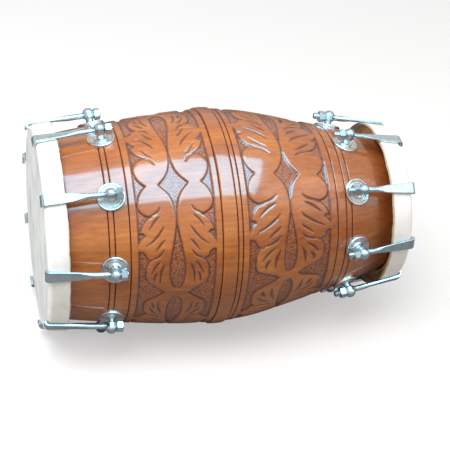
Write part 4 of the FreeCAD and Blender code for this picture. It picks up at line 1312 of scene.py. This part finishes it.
def lamp(name, spot, aim, size, watts, tone, **seen_by):
    """A soft rectangular lamp, which can be hidden from one kind of ray."""
    light = bpy.data.lights.new(name, "AREA")
    light.shape = "RECTANGLE"
    light.size, light.size_y = size
    light.energy = watts
    light.color = colour(tone)[:3]
    item = placed(name, light)
    item.location = spot
    item.rotation_euler = (Vector(aim) - Vector(spot)).to_track_quat("-Z", "Y").to_euler()
    for ray, seen in seen_by.items():
        setattr(item, "visible_" + ray, seen)


def light_world():
    """White to the camera, a pale room to reflections and soft daylight to the rest."""
    world = bpy.data.worlds.new("plain_daylight")
    world.use_nodes = True
    tree = world.node_tree
    tree.nodes.clear()
    rays = add(tree, "ShaderNodeLightPath").outputs
    direction = add(tree, "ShaderNodeTexCoord").outputs["Generated"]
    height = add(tree, "ShaderNodeSeparateXYZ", {0: direction}).outputs[2]
    share = sums(tree, "MULTIPLY_ADD", height, 0.5, 0.5)
    lower_tones = ((0.0, "#8C8883"), (0.5, "#A8AEB2"), (0.52, "#596067"))
    upper_tones = ((0.545, "#B2B6B8"), (0.66, "#E4E4E2"), (1.0, "#C8C6C4"))
    mirrored_room = ramp(tree, share, *lower_tones, *upper_tones)
    daylight = ramp(tree, share, (0.45, "#3A3430"), (0.6, "#B2B4B8"), (1.0, "#FFFFFF"))
    room = blend(tree, rays["Is Glossy Ray"], daylight, mirrored_room)
    strength = sums(tree, "MULTIPLY_ADD", rays["Is Glossy Ray"], MIRROR_GAIN, DAYLIGHT)
    soft = add(tree, "ShaderNodeBackground", {"Color": room, "Strength": strength})
    white = add(tree, "ShaderNodeBackground", {"Color": "#FFFFFF", "Strength": 1.0})
    wired = {0: rays["Is Camera Ray"], 1: soft.outputs[0], 2: white.outputs[0]}
    mixed = add(tree, "ShaderNodeMixShader", wired)
    add(tree, "ShaderNodeOutputWorld", {"Surface": mixed.outputs[0]})
    bpy.context.scene.world = world


light_world()
MIDDLE = (0, 0, AXIS_HEIGHT * MM)
lamp("soft_key", (-0.45, -0.35, 1.55), MIDDLE, (1.2, 1.2), 27.5, "#FFFEFB", glossy=False)
lamp("side_fill", (-1.6, -0.1, 0.5), MIDDLE, (0.8, 0.8), 9.5, "#F4F7FF", glossy=False)
lamp("right_fill", (1.6, -0.25, 0.5), MIDDLE, (0.8, 0.8), 7.5, "#FFF6EC", glossy=False)
lamp("front_fill", (0.5, -1.7, 0.7), MIDDLE, (0.8, 0.8), 1.2, "#FFFFFF", glossy=False)
lamp("window", (0.06, -0.38, 1.35), (0.06, -0.38, 0), (1.32, 1.0), 41, "#82DAFE", diffuse=False)
lamp("right_window", (1.2, -0.6, 1.02), (0.2, -0.05, 0.2), (0.8, 0.8), 2, "#E4F2FF", diffuse=False)


def lay_floor():
    """Pale paper, plain white to the camera but duller in the light it throws back."""
    mesh = bpy.data.meshes.new("floor")
    corners = [(-4, -4, 0), (4, -4, 0), (4, 4, 0), (-4, 4, 0)]
    mesh.from_pydata(corners, [], [(0, 1, 2, 3)])
    floor = placed("floor", mesh)
    paper, tree, shader, _ = new_finish("white_paper_floor")
    fill(tree, shader, {"Base Color": "#F4F4F4", "Roughness": 0.9, "Specular IOR Level": 0.0})
    glow = add(tree, "ShaderNodeEmission", {"Color": "#FFFFFF", "Strength": 1.0}).outputs[0]
    paper_and_glow = {0: FLOOR_GLOW, 1: shader.outputs[0], 2: glow}
    seen = add(tree, "ShaderNodeMixShader", paper_and_glow).outputs[0]
    rays = add(tree, "ShaderNodeLightPath").outputs
    thrown = blend(tree, rays["Is Glossy Ray"], "#ADA7A1", "#7E8082")
    dull = add(tree, "ShaderNodeBsdfDiffuse", {"Color": thrown}).outputs[0]
    mixed = add(tree, "ShaderNodeMixShader", {0: rays["Is Camera Ray"], 1: dull, 2: seen})
    fill(tree, tree.get_output_node("ALL"), {"Surface": mixed.outputs[0]})
    mesh.materials.append(paper)
    floor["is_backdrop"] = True


lay_floor()
bpy.context.scene.view_settings.view_transform = "Standard"
print("lamps:", [light.name for light in bpy.data.lights])

# %% Print the finished drum's box and the CAD model's, and finish
finished_box = [list(corner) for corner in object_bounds()]
for name, box in (("cad", cad_box), ("finished", finished_box)):
    print(name, [[round(v, 4) for v in corner] for corner in box])
